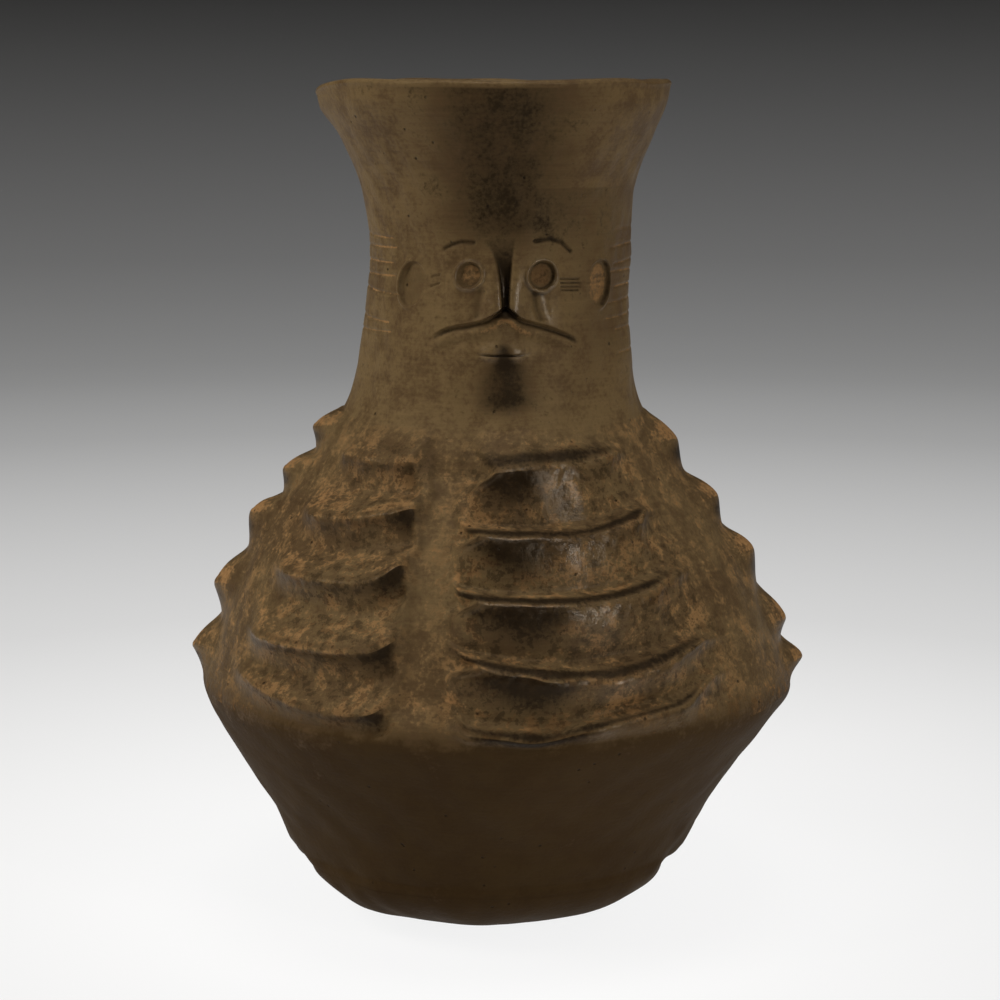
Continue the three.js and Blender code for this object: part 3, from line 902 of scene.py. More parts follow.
    def bands(self) -> list[Band]:
        """Return the shoulder's bands of rows from the belly to the throat."""
        skin, last = self.skin, len(self.courses) - 1
        made = [("belly", *skin.level(skin.form.belly, self.foot(last), self.belly_rows))]
        for row in range(last, -1, -1):
            foot, crest = self.foot(row), self.crest(row)
            top = self.foot(row - 1) if row else skin.form.throat
            made.append((f"riser_{row + 1}", *skin.level(foot, crest, self.riser_rows, self.riser_law)))
            made.append((f"ledge_{row + 1}", *skin.level(crest, top, self.ledge_rows, self.ledge_law)))
        return made

    def rib(self, side: Side, course: Course, theta: Array) -> tuple[Array, Array]:
        """Work out a rib's size along its length.

        Args:
            side: The side it is on.
            course: The course it belongs to.
            theta: Angle of each point, with the raggedness of the inner end taken off.

        Returns:
            How far its lip stands out, and how deep the hollow under it is scooped.
        """
        inner, size = self.inner.at(side), course.lips.at(side)
        along = (theta - inner) * side.value - course.inset
        share = along / (abs(self.outer.at(side) - inner) - 2.0 * course.inset)
        inwards = 1.0 - np.clip(along / self.blunt_end.at(side), 0.0, 1.0)
        if side is Side.RIGHT:
            rise = np.sqrt(1.0 - inwards * inwards)
            curl = 1.0
        else:
            rise = ease(1.0 - inwards)
            thin, part = self.left_curl
            curl = thin + (1.0 - thin) * ease(share / part)
        lip = size * curl * rise * falling(share, 1.0, self.lip_taper)
        end = self.hollow + self.hollow_end.at(side) * bell(share, 0.0, self.hollow_end_share)
        scoop = end * rise * falling(share, 1.0, self.hollow_taper) * (size / self.full_lip)
        return lip, scoop

    def spur(self, row: int, side: Side) -> Array:
        """Work out a spur's size.

        Args:
            row: Number of the course it belongs to.
            side: The side it is on.

        Returns:
            How far it stands out at each column.
        """
        reach = np.degrees(self.spur_reach / self.skin.form.radius(self.crest(row)))
        across = np.abs(self.skin.theta * side.value - self.spur_angle) / reach
        straight = np.clip(self.spur_blunt - across, 0.0, 1.0)
        profile = self.spur_soft * ease(1.0 - across) + (1.0 - self.spur_soft) * straight
        return self.spur_proud.at(side) * profile

    def sizes(self, row: int, rows: slice, shift: Array) -> tuple[Array, Array, Array]:
        """Work out the relief of a course over a band of rows.

        Args:
            row: Number of the course.
            rows: The band's rows.
            shift: Angle by which each row's right inner end lies back.

        Returns:
            Lip, scoop and spur at each point.
        """
        theta, course = self.skin.theta[None, :], self.courses[row]
        ragged = self.ragged.at(np.zeros(1), self.skin.height[rows])
        left_lip, left_scoop = self.rib(Side.LEFT, course, theta + ragged)
        right_lip, right_scoop = self.rib(Side.RIGHT, course, theta - shift - self.right_ragged * ragged)
        lumps = 1.0 + self.lumps.at(theta, self.crest(row)[None, :])
        spur = (self.spur(row, Side.LEFT) + self.spur(row, Side.RIGHT)) * np.ones(shift.shape)
        return (left_lip + right_lip) * lumps, left_scoop + right_scoop, spur

    def sink(self, rows: slice, shift: Array) -> None:
        """Sink the breastbone between the ribs.

        Args:
            rows: The band's rows.
            shift: Angle by which each row's right bank lies back.
        """
        skin, theta, tints = self.skin, self.skin.theta[None, :], self.tints
        ragged = self.ragged.at(np.zeros(1), skin.height[rows])
        from_left = theta + ragged - self.inner.left
        from_right = theta - shift - self.inner.right
        banks = rising(from_left, *self.left_bank)
        banks = banks * falling(from_right - self.right_ragged * ragged, *self.right_bank)
        ends = rising(skin.height[rows], *self.breastbone_foot)
        ends = ends * falling(skin.height[rows], *self.breastbone_top)
        skin.proud[rows] -= self.breastbone * banks * ends
        # Painted shade on the left bank
        skin.paint(rows, Tint.SOOT, tints.bank_shade * bell(from_left, *tints.bank_shade_at) * ends)
        # Painted highlight on the right bank, in the ochre colour
        skin.paint(rows, Tint.OCHRE, tints.bank_highlight * bell(from_right, *tints.bank_highlight_at) * ends)

    def lay_riser(self, row: int, band: slice, drop: Array) -> None:
        """Raise and tint the steep front of a course.

        Args:
            row: Number of the course.
            band: The riser's rows.
            drop: How far down from the crest each row lies.
        """
        skin, tints = self.skin, self.tints
        shift = np.interp(drop, *np.array(self.riser_lag).T)
        lip, scoop, spur = self.sizes(row, band, shift)
        self.sink(band, shift)
        pinched = (1.0 - drop) ** self.spur_riser_power - self.spur_hollow * bell(drop, *self.spur_hollow_at)
        skin.proud[band] += lip * (1.0 - drop) ** self.by_side(self.riser_power)
        skin.proud[band] += spur * pinched - scoop * ease(drop)
        rib, pinch = np.clip(lip / self.full_lip, 0.0, 1.0), spur / self.by_side(self.spur_proud)
        # Soot down the riser, with painted shade under the lip and a painted highlight in the shining strip
        smoke = tints.smoke + tints.black_soot_and_shade * self.black + tints.sheen_highlight * self.sheen
        smoke = (smoke + tints.crest_shade * bell(drop, *tints.crest_line)) * falling(drop, *tints.smoke_end)
        # Painted shade under each spur
        spur_shade = self.by_side(tints.spur_shade) * bell(drop, *tints.spur_line)
        skin.paint(band, Tint.SOOT, np.clip(tints.smoke_gain * rib, 0.0, 1.0) * smoke + pinch * spur_shade)
        dust = tints.foot_dust * rising(drop, *tints.foot_line) + tints.riser_dust
        skin.paint(band, Tint.OCHRE, rib * self.right * dust)
        polish = self.by_side(tints.polish) + tints.sheen_polish * self.sheen
        skin.paint(band, Tint.POLISH, rib * polish * (tints.crest_polish - tints.polish_fall * drop))
        skin.paint(band, Tint.POLISH, tints.spur_polish * pinch * (1.0 - drop))

    def lay_ledge(self, row: int, band: slice, up: Array) -> Array:
        """Raise and tint the sloping top of a course.

        Args:
            row: Number of the course.
            band: The ledge's rows.
            up: How far up from the crest each row lies.

        Returns:
            How much of a rib there is at each column.
        """
        skin, tints = self.skin, self.tints
        shift = np.interp(up, *np.array(self.ledge_lag).T)
        lip, _, spur = self.sizes(row, band, shift)
        self.sink(band, shift)
        over = self.sizes(row - 1, band, shift)[1] if row else np.zeros(lip.shape)
        rib, pinch = np.clip(lip / self.full_lip, 0.0, 1.0), spur / self.by_side(self.spur_proud)
        skin.proud[band] += lip * (1.0 - up) ** self.by_side(self.ledge_power)
        skin.proud[band] += spur * (1.0 - up ** self.spur_ledge_power) - over * (1.0 - ease(1.0 - up))
        skin.proud[band] += rib * self.drags.at(skin.theta[None, :], skin.height[band])
        dust = rising(up, self.by_side(tints.ledge_dust_start), self.by_side(tints.ledge_dust_rise))
        dust = dust * falling(up, *tints.ledge_dust_end) * self.by_side(tints.ledge_dust)
        spur_dust = self.by_side(tints.spur_dust) * falling(up, *tints.spur_dust_end)
        skin.paint(band, Tint.OCHRE, rib * dust + pinch * spur_dust)
        # Painted shade in the crevice above the crest
        crevice = bell(up, self.by_side(tints.crevice_line), self.by_side(tints.crevice_width))
        # Painted shade in the hollow under the rib above
        under = rising(up, *tints.under_start) * np.clip(over / self.full_hollow, 0.0, 1.0)
        skin.paint(band, Tint.SOOT, rib * self.by_side(tints.crevice_shade) * crevice)
        skin.paint(band, Tint.SOOT, under * (tints.under_shade + tints.under_black * self.black))
        skin.paint(band, Tint.POLISH, rib * falling(up, *tints.ledge_polish_end))
        skin.paint(band, Tint.POLISH, tints.spur_edge_polish * pinch * falling(up, *tints.spur_edge_end))
        return rib.max(axis=0)

    def shape(self) -> None:
        """Lay the courses, round them off and wear the front and flanks."""
        skin, tints, theta = self.skin, self.tints, self.skin.theta[None, :]
        for row in range(len(self.courses)):
            riser, ledge = skin.bands[f"riser_{row + 1}"], skin.bands[f"ledge_{row + 1}"]
            drop, up = 1.0 - skin.share[riser][:, None], skin.share[ledge][:, None]
            self.lay_riser(row, riser, drop)
            rib = self.lay_ledge(row, ledge, up)
            for band, away in ((riser, drop), (ledge, up)):
                crumbs = self.crumbs.at(theta, skin.height[band])
                skin.proud[band] += rib * crumbs * falling(away, *self.crumbs_end)
        rows = slice(skin.bands["belly"].start, skin.bands["ledge_1"].stop)
        near_spur = rising(np.abs(skin.theta), *self.spur_round_from)
        skin.soften(rows, self.rib_round + (self.spur_round - self.rib_round) * near_spur)
        full = np.clip(skin.proud[rows] / self.full_lip, 0.0, self.hang_limit)
        skin.hang[rows] = self.hang * full ** self.hang_power
        height, channel = skin.height[rows], bell(theta, *tints.channel)
        flank = rising(np.abs(theta), *tints.flank)
        front = (1.0 - flank) * rising(height, *tints.front_foot) * falling(height, *tints.front_top)
        skin.mark(rows, Zone.STREAKS, flank + tints.channel_streaks * channel)
        skin.mark(rows, Zone.WORN, front * (1.0 - tints.channel_clear * channel) + tints.flank_wear * flank)
        dust = tints.flank_dust * flank + tints.front_dust * front + tints.channel_dust * channel
        skin.paint(rows, Tint.OCHRE, dust)

    def pads(self) -> list[Pad]:
        """Return each rib and spur on the skin."""
        made, skin = [], self.skin
        reach = math.degrees(self.spur_reach / self.spur_wall) + self.spur_margin
        for side in Side:
            hand, middle = side.name.lower(), side.value * self.spur_angle
            spur = skin.columns(middle - reach, middle + reach)
            for row, course in enumerate(self.courses):
                rows = np.arange(skin.bands[f"riser_{row + 1}"].start, skin.bands[f"ledge_{row + 1}"].stop)
                inset = side.value * course.inset
                low, high = sorted((self.inner.at(side) + inset, self.outer.at(side) - inset))
                rib = skin.columns(low - self.rib_margin, high + self.rib_margin)
                made += [(f"rib_{hand}_{row + 1}", rows, rib), (f"spur_{hand}_{row + 1}", rows, spur)]
        return made


@dataclass(frozen=True)
class Eye:
    """A punched eye: its place and radius, how much darker its floor is painted, and the painted shade beside
    it.
    """

    x: float
    height: float
    radius: float
    smoke: float
    shade: float


@dataclass(frozen=True)
class Ear:
    """A pressed ear hollow: its place, half sizes and side, the dust in it, and how much darker its hollow is
    painted.
    """

    x: float
    height: float
    half_width: float
    half_height: float
    side: Side
    dust: float
    smoke: float


@dataclass(frozen=True)
class Cut:
    """A line cut into the face, as fine as a scar unless it is given more, with painted shade in it."""

    path: Path
    width: float = 1.15
    depth: float = 1.0
    smoke: float = 0.45


CUTS = (
    # Brows
    Cut(((-37.2, 405.0), (-32.0, 407.6), (-26.5, 409.2), (-19.8, 408.8)), 2.0, 1.3),
    Cut(((15.3, 409.8), (25.0, 410.8), (32.0, 408.5), (38.4, 403.3)), 2.0, 1.3),
    # Scars
    Cut(((-44.8, 389.0), (-39.7, 390.0))),
    Cut(((-44.8, 383.6), (-39.7, 385.2))),
    Cut(((31.2, 387.8), (44.5, 387.2))),
    Cut(((31.6, 385.6), (45.5, 385.0))),
    Cut(((32.0, 383.4), (45.5, 382.8))),
    Cut(((32.5, 381.4), (44.0, 380.9))),
    # Creases beside the nose
    Cut(((-14.5, 381.0), (-15.5, 366.0)), 4.8, 1.4),
    Cut(((15.6, 379.0), (17.0, 372.0), (19.8, 365.0)), 3.0, 1.4, 0.4),
)


@dataclass(frozen=True)
class FaceTints:
    """How strongly soot, dust, painted shade and polish lie on the face and neck."""

    groove_shade: float = 1.3
    under_cheek_shade: float = 0.7
    nostril_shade: float = 1.2
    eye_edge_shade: float = 0.4
    lips_smoke: float = 1.0
    slit_shade: float = 0.75
    chin_smoke: float = 0.9
    ear_edge_shade: float = 0.4
    right_shade: float = 0.36
    eye_dust: float = 1.3
    lid_dust: float = 0.3
    roll_dust: float = 0.55
    roll_middle_dust: float = 1.15
    ring_dust: float = 1.45
    cheek_polish: float = 0.5
    nose_polish: float = 0.8
    eye_ring_polish: float = 1.3
    eye_floor_polish: float = -0.4
    lips_polish: float = 1.6
    lips_middle_polish: float = -1.3
    rubbed_polish: float = 1.2
    ear_polish: float = 0.5


@dataclass
class Neck:
    """The neck wall with the face laid on it: two cheeks that meet at the nose, a lip roll and a mouth.

    Places on the face are millimetres from its middle and heights.
    """

    skin: Skin
    # Rows of the neck, and each point's millimetres from the middle of the face and height
    rows: slice = field(init=False)
    u: Array = field(init=False)
    z: Array = field(init=False)
    tints: FaceTints = FaceTints()
    face_angle: float = 3.5
    mm_per_degree: float = 1.344
    brow_top: float = 411.5
    moustache: FairCurve = FairCurve((
        (-70.0, 350.0), (-55.0, 350.0), (-48.0, 350.6), (-43.6, 352.8), (-39.7, 356.0), (-31.2, 360.0),
        (-19.8, 362.4), (-10.9, 364.8), (-5.4, 368.0), (0.0, 371.6), (5.4, 368.0), (8.7, 365.3),
        (19.8, 362.0), (31.2, 357.7), (41.0, 353.4), (48.0, 350.8), (55.0, 350.0), (70.0, 350.0)))
    # Cheeks and nose, with the nose's groove as heights, middles and half widths
    cheek_span: float = 25.8
    cheek_proud: float = 2.5
    cheek_edge: Spot = (-0.4, 1.9)
    cheek_top: Spot = (410.0, 30.0)
    cheek_side: Spot = (46.0, 18.0)
    cheek_swell: float = 0.25
    cheek_swell_height: float = 10.0
    nose_gap: float = 1.6
    nose_proud: float = 4.0
    nose_wing: Spot = (4.0, 6.5)
    nose_top: Spot = (404.0, 34.0)
    nose_line: tuple[tuple[float, float, float], ...] = (
        (371.0, 0.0, 0.8), (384.5, -1.1, 1.6), (395.6, -2.0, 3.0), (403.3, -2.8, 4.8), (409.0, -4.3, 7.0))
    groove_depth: float = 4.2
    groove_side: Spot = (0.0, 1.8)
    groove_foot: Spot = (-2.0, 3.0)
    groove_top: Spot = (413.0, 26.0)
    under_cheek: Spot = (-1.1, 1.7)
    under_cheek_side: Spot = (44.0, 6.0)
    nostril: Spot = (0.5, 6.0)
    nostril_height: Spot = (368.2, 3.0)
    # Eyes
    eyes: tuple[Eye, ...] = (Eye(-21.7, 390.4, 7.4, 0.1, 0.2), Eye(19.9, 390.2, 8.3, 0.42, 0.6))
    eye_depth: float = 2.8
    eye_wall: float = 1.5
    eye_floor: Spot = (-0.6, 1.6)
    eye_edge: Spot = (-0.8, 0.9)
    eye_ring: Spot = (0.9, 0.9)
    eye_ring_proud: float = 0.9
    eye_shade: Spot = (2.4, 1.2)
    eye_shade_side: Spot = (4.0, 8.0)
    lid_rise: float = 12.0
    lid_flat: float = 1.6
    lid_reach: float = 9.0
    # Lip roll and mouth
    roll_width: float = 8.5
    roll_proud: float = 1.7
    roll_below: Spot = (5.0, 3.4)
    roll_side: Spot = (46.0, 12.0)
    roll_middle: Spot = (3.0, 16.0)
    roll_middle_below: Spot = (6.5, 3.4)
    roll_groove: float = 0.5
    roll_groove_below: Spot = (0.5, 0.9)
    mouth_top: float = 352.5
    mouth_band: float = 13.0
    mouth_reach: float = 10.5
    mouth_clear: float = 2.5
    lips: Spot = (-1.0, 15.0)
    lips_height: Spot = (346.0, 6.5)
    lips_power: float = 1.4
    lips_proud: float = 3.2
    lips_middle: Spot = (-0.5, 4.5)
    slit: Path = ((-15.3, 345.6), (-5.0, 344.9), (5.0, 345.0), (12.6, 345.6))
    slit_middle: float = -1.3
    slit_end: Spot = (15.5, 8.0)
    slit_width: float = 0.95
    slit_depth: float = 1.7
    chin: Spot = (1.0, 11.0)
    chin_spread: float = 0.2
    chin_length: float = 40.0
    chin_top: Spot = (346.0, 8.0)
    chin_foot: Spot = (305.0, 16.0)
    # Cuts and the rubbed streak beside the nose
    cuts: tuple[Cut, ...] = CUTS
    cut_fade: float = 4.0
    rubbed: Spot = (22.0, 3.0)
    rubbed_height: Spot = (375.0, 9.0)
    rubbed_slant: float = 0.25
    rubbed_proud: float = 0.7
    # Ears, in shares of their half sizes
    ears: tuple[Ear, ...] = (Ear(-58.5, 384.2, 10.5, 13.0, Side.LEFT, 0.72, 0.32),
                             Ear(60.5, 384.0, 11.0, 13.8, Side.RIGHT, 1.4, 0.0))
    ear_depth: float = 2.2
    ear_slope: float = 1.6
    ear_wall: float = 0.11
    ear_floor: float = 0.3
    ear_lip: Spot = (1.06, 0.09)
    ear_lip_proud: float = 0.9
    ear_lip_from: Spot = (-0.3, 0.5)
    ear_edge: Spot = (0.97, 0.07)
    ear_edge_from: Spot = (0.1, 0.4)
    # Rings
    left_rings: tuple[float, ...] = (411.0, 403.5, 394.0, 387.0, 377.6, 362.0, 355.0)
    right_rings: tuple[float, ...] = (413.5, 404.7, 394.7, 388.9, 379.7, 372.9, 364.3, 355.0, 343.5)
    ring_seed: int = 31
    ring_start: Pair = Pair(45.0, 55.0)
    ring_start_spread: tuple[float, float] = (-3.0, 6.0)
    ring_stop: float = 176.0
    ring_stop_spread: tuple[float, float] = (0.0, 14.0)
    ring_fades: tuple[float, float] = (3.0, 6.0)
    ring_drift: float = 1.3
    ring_drift_rate: tuple[float, float] = (1.4, 2.4)
    ring_drift_phase: tuple[float, float] = (0.0, 6.0)
    ring_width: float = 1.5
    ring_depth: float = 0.45
    # Painted shade on the right of the neck
    right_shade: Spot = (55.0, 30.0)
    right_shade_foot: Spot = (300.0, 60.0)

    def along(self) -> Array:
        """Return the millimetres from the middle of the face at each column."""
        return (self.skin.theta - self.face_angle) * self.mm_per_degree

    def bands(self) -> list[Band]:
        """Return the neck's bands of rows from the throat to the collar."""
        form, foot = self.skin.form, self.moustache.at(self.along())
        roll = foot - self.roll_width
        top = np.minimum(self.mouth_top, roll - self.mouth_clear)
        low = top - self.mouth_band
        lines = (("throat", form.throat, low, 18, 1.0), ("mouth", low, top, 22, 1.0),
                 ("upper_lip", top, roll, 10, 1.0), ("lip_roll", roll, foot, 14, 1.0),
                 ("face", foot, self.brow_top, 104, 1.1), ("forehead", self.brow_top, form.collar, 22, 1.0))
        return [(name, *self.skin.level(start, stop, rows, law)) for name, start, stop, rows, law in lines]

    def shape(self) -> None:
        """Model the face, press the ears and draw the rings."""
        skin = self.skin
        self.rows = slice(skin.bands["throat"].start, skin.bands["forehead"].stop)
        self.z = skin.height[self.rows]
        self.u = self.along()[None, :] * np.ones(self.z.shape)
        self.lay_cheeks()
        self.punch_eyes()
        self.lay_mouth()
        self.cut_lines()
        self.press_ears()
        self.draw_rings()
        # Painted shade on the right of the neck
        smoke = bell(skin.theta, *self.right_shade) * rising(self.z, *self.right_shade_foot)
        skin.paint(self.rows, Tint.SOOT, self.tints.right_shade * smoke)

    def lay_cheeks(self) -> None:
        """Raise the cheeks and nose above the moustache line."""
        skin, tints, rows, u, z = self.skin, self.tints, self.rows, self.u, self.z
        above = z - self.moustache.at(u)
        edge = rising(above, *self.cheek_edge)
        fade = falling(z, *self.cheek_top) * falling(np.abs(u), *self.cheek_side)
        swell = 1.0 - self.cheek_swell + self.cheek_swell * np.exp(-above / self.cheek_swell_height)
        heights, middles, halves = np.array(self.nose_line).T
        wing = np.abs(u - np.interp(z, heights, middles)) - np.interp(z, heights, halves)
        nose = bell(wing, *self.nose_wing) * edge * falling(z, *self.nose_top)
        cut = (1.0 - rising(wing, *self.groove_side)) * rising(above, *self.groove_foot)
        cut = cut * falling(z, *self.groove_top)
        skin.proud[rows] += self.cheek_proud * edge * fade * swell
        skin.proud[rows] += self.nose_proud * nose - self.groove_depth * cut
        skin.paint(rows, Tint.POLISH, tints.cheek_polish * edge * fade + tints.nose_polish * nose)
        # Painted shade in the nose groove, under the cheeks' edge and under the nose
        under = bell(above, *self.under_cheek) * falling(np.abs(u), *self.under_cheek_side)
        nostril = bell(u, *self.nostril) * bell(z, *self.nostril_height)
        smoke = tints.groove_shade * cut + tints.under_cheek_shade * under + tints.nostril_shade * nostril
        skin.paint(rows, Tint.SOOT, smoke)

    def punch_eyes(self) -> None:
        """Punch the two eyes through the cheeks."""
        skin, tints, rows, u, z = self.skin, self.tints, self.rows, self.u, self.z
        for eye in self.eyes:
            past = np.hypot(u - eye.x, z - eye.height) - eye.radius
            ring, floor = bell(past, *self.eye_ring), falling(past, *self.eye_floor)
            skin.proud[rows] += self.eye_ring_proud * ring
            skin.proud[rows] -= self.eye_depth * falling(past, 0.0, self.eye_wall)
            # Painted shade inside the edge and beside the eye's lower side; the floor is painted darker
            shaded = rising(eye.x - u + eye.height - z, *self.eye_shade_side) * bell(past, *self.eye_shade)
            smoke = eye.smoke * floor + tints.eye_edge_shade * bell(past, *self.eye_edge)
            skin.paint(rows, Tint.SOOT, smoke + eye.shade * shaded)
            lid = np.hypot(u - eye.x, (z - eye.height - self.lid_rise) * self.lid_flat)
            dust = tints.eye_dust * floor + tints.lid_dust * bell(lid, 0.0, self.lid_reach)
            skin.paint(rows, Tint.OCHRE, dust)
            skin.paint(rows, Tint.POLISH, tints.eye_ring_polish * ring + tints.eye_floor_polish * floor)

    def lay_mouth(self) -> None:
        """Roll the lip under the moustache line and raise the mouth with its slit."""
        skin, tints, rows, u, z = self.skin, self.tints, self.rows, self.u, self.z
        below = self.moustache.at(u) - z
        wide = falling(np.abs(u), *self.roll_side)
        roll = bell(below, *self.roll_below) * wide
        skin.proud[rows] += self.roll_proud * roll
        skin.proud[rows] -= self.roll_groove * bell(below, *self.roll_groove_below) * wide
        middle = bell(u, *self.roll_middle) * bell(below, *self.roll_middle_below)
        skin.paint(rows, Tint.OCHRE, tints.roll_dust * roll + tints.roll_middle_dust * middle)
        (x, half), (height, half_height) = self.lips, self.lips_height
        lips = np.exp(-(((u - x) / half) ** 2 + ((z - height) / half_height) ** 2) ** self.lips_power)
        slit = stroke(u, z, self.slit, self.slit_width)
        slit = slit * falling(np.abs(u - self.slit_middle), *self.slit_end)
        skin.proud[rows] += self.lips_proud * lips - self.slit_depth * slit
        middle = lips * bell(u, *self.lips_middle)
        skin.paint(rows, Tint.POLISH, tints.lips_polish * lips + tints.lips_middle_polish * middle)
        x, half = self.chin
        spread = half + self.chin_spread * np.clip(self.chin_top[0] - z, 0.0, self.chin_length)
        chin = bell(u, x, spread) * falling(z, *self.chin_top) * rising(z, *self.chin_foot)
        # Painted shade in the slit, with soot on the lips' middle and the chin
        smoke = tints.lips_smoke * middle + tints.slit_shade * slit + tints.chin_smoke * chin
        skin.paint(rows, Tint.SOOT, smoke)

    def cut_lines(self) -> None:
        """Cut the brows, scars and creases, and rub a streak beside the nose."""
        skin, rows, u, z = self.skin, self.rows, self.u, self.z
        above = z - self.moustache.at(u)
        for cut in self.cuts:
            line = stroke(u, z, cut.path, cut.width) * rising(above, 0.0, self.cut_fade)
            skin.proud[rows] -= cut.depth * line
            # Painted shade in the cut
            skin.paint(rows, Tint.SOOT, cut.smoke * line)
        slanted = u - self.rubbed_slant * (self.rubbed_height[0] - z)
        rubbed = bell(slanted, *self.rubbed) * bell(z, *self.rubbed_height)
        skin.proud[rows] += self.rubbed_proud * rubbed
        skin.paint(rows, Tint.POLISH, self.tints.rubbed_polish * rubbed)

    def press_ears(self) -> None:
        """Press the two ear hollows, steep behind and sloping up towards the face."""
        skin, tints, rows, u, z = self.skin, self.tints, self.rows, self.u, self.z
        for ear in self.ears:
            across = (u - ear.x) / ear.half_width
            behind = across * ear.side.value
            away = np.hypot(across, (z - ear.height) / ear.half_height)
            floor = falling(away, 1.0, self.ear_wall) * np.clip((behind + 1.0) / self.ear_slope, 0.0, 1.0)
            lip = bell(away, *self.ear_lip) * rising(behind, *self.ear_lip_from)
            edge = bell(away, *self.ear_edge) * rising(behind, *self.ear_edge_from)
            inside = falling(away, 1.0, self.ear_floor)
            skin.proud[rows] += self.ear_lip_proud * lip - self.ear_depth * floor
            skin.paint(rows, Tint.OCHRE, ear.dust * inside)
            # Painted shade along the steep edge; the hollow is painted darker
            skin.paint(rows, Tint.SOOT, ear.smoke * inside + tints.ear_edge_shade * edge)
            skin.paint(rows, Tint.POLISH, tints.ear_polish * lip)

    def draw_rings(self) -> None:
        """Draw the rings that run from behind the ears round the back."""
        skin, rows, rng = self.skin, self.rows, np.random.default_rng(self.ring_seed)
        for side, heights in ((Side.LEFT, self.left_rings), (Side.RIGHT, self.right_rings)):
            away = skin.theta[None, :] * side.value
            for height in heights:
                start = self.ring_start.at(side) + rng.uniform(*self.ring_start_spread)
                stop = self.ring_stop - rng.uniform(*self.ring_stop_spread)
                window = rising(away, start, self.ring_fades[0]) * falling(away, stop, self.ring_fades[1])
                turn = np.radians(away * rng.uniform(*self.ring_drift_rate))
                drift = self.ring_drift * np.sin(turn + rng.uniform(*self.ring_drift_phase))
                line = falling(np.abs(self.z - height - drift), self.ring_width, self.ring_width) * window
                skin.proud[rows] -= self.ring_depth * line
                skin.paint(rows, Tint.OCHRE, self.tints.ring_dust * line)

    def pads(self) -> list[Pad]:
        """Return each pad of the face."""
        middle, half, span, reach = self.face_angle, self.nose_gap / 2.0, self.cheek_span, self.mouth_reach
        places = (("cheek_left", "face", -span, -half), ("cheek_right", "face", half, span),
                  ("lip_roll", "lip_roll", -span, span), ("mouth", "mouth", -reach, reach))
        return [(name, np.arange(self.skin.bands[band].start, self.skin.bands[band].stop),
                 self.skin.columns(middle + low, middle + high)) for name, band, low, high in places]


@dataclass
class Rim:
    """The flared rim, its rounded lip and the inside down to the collar."""

    skin: Skin
    flare_rows: int = 40
    inside_rows: int = 34
    flare_below: float = 3.2
    # Painted shade down the middle of the front, rising from the face over the rim
    smoke: float = 0.74
    front_shade_at: Spot = (2.0, 30.0)
    front_shade_foot: Spot = (388.0, 38.0)
    coils_from: Spot = (-8.0, 8.0)
    lip_polish: float = 0.6
    lip_dust: float = 0.35
    raw_from: Spot = (-14.0, 24.0)

    def bands(self) -> list[Band]:
        """Return the rim's bands of rows from the collar over the lip to the collar inside."""
        form = self.skin.form
        flare = self.skin.level(form.collar, form.lip - self.flare_below, self.flare_rows)
        return [("flare", *flare), ("lip", *self.skin.line(form.lip_line(self.inside_rows)))]

    def shape(self) -> None:
        """Paint shade down the front of the neck and rim, rub the lip and lay coil marks inside it."""
        skin, theta = self.skin, self.skin.theta[None, :]
        front = slice(skin.bands["face"].start, skin.bands["flare"].stop)
        smoke = bell(theta, *self.front_shade_at) * rising(skin.height[front], *self.front_shade_foot)
        skin.paint(front, Tint.SOOT, self.smoke * smoke)
        rows = skin.bands["lip"]
        past = skin.height[rows] - skin.form.lip
        inside = falling(past, *self.coils_from)
        skin.proud[rows] += skin.form.coils.at(theta, skin.height[rows]) * inside
        skin.paint(rows, Tint.POLISH, self.lip_polish * (1.0 - inside))
        skin.paint(rows, Tint.OCHRE, self.lip_dust * (1.0 - inside))
        skin.mark(rows, Zone.RAW, falling(past, *self.raw_from))


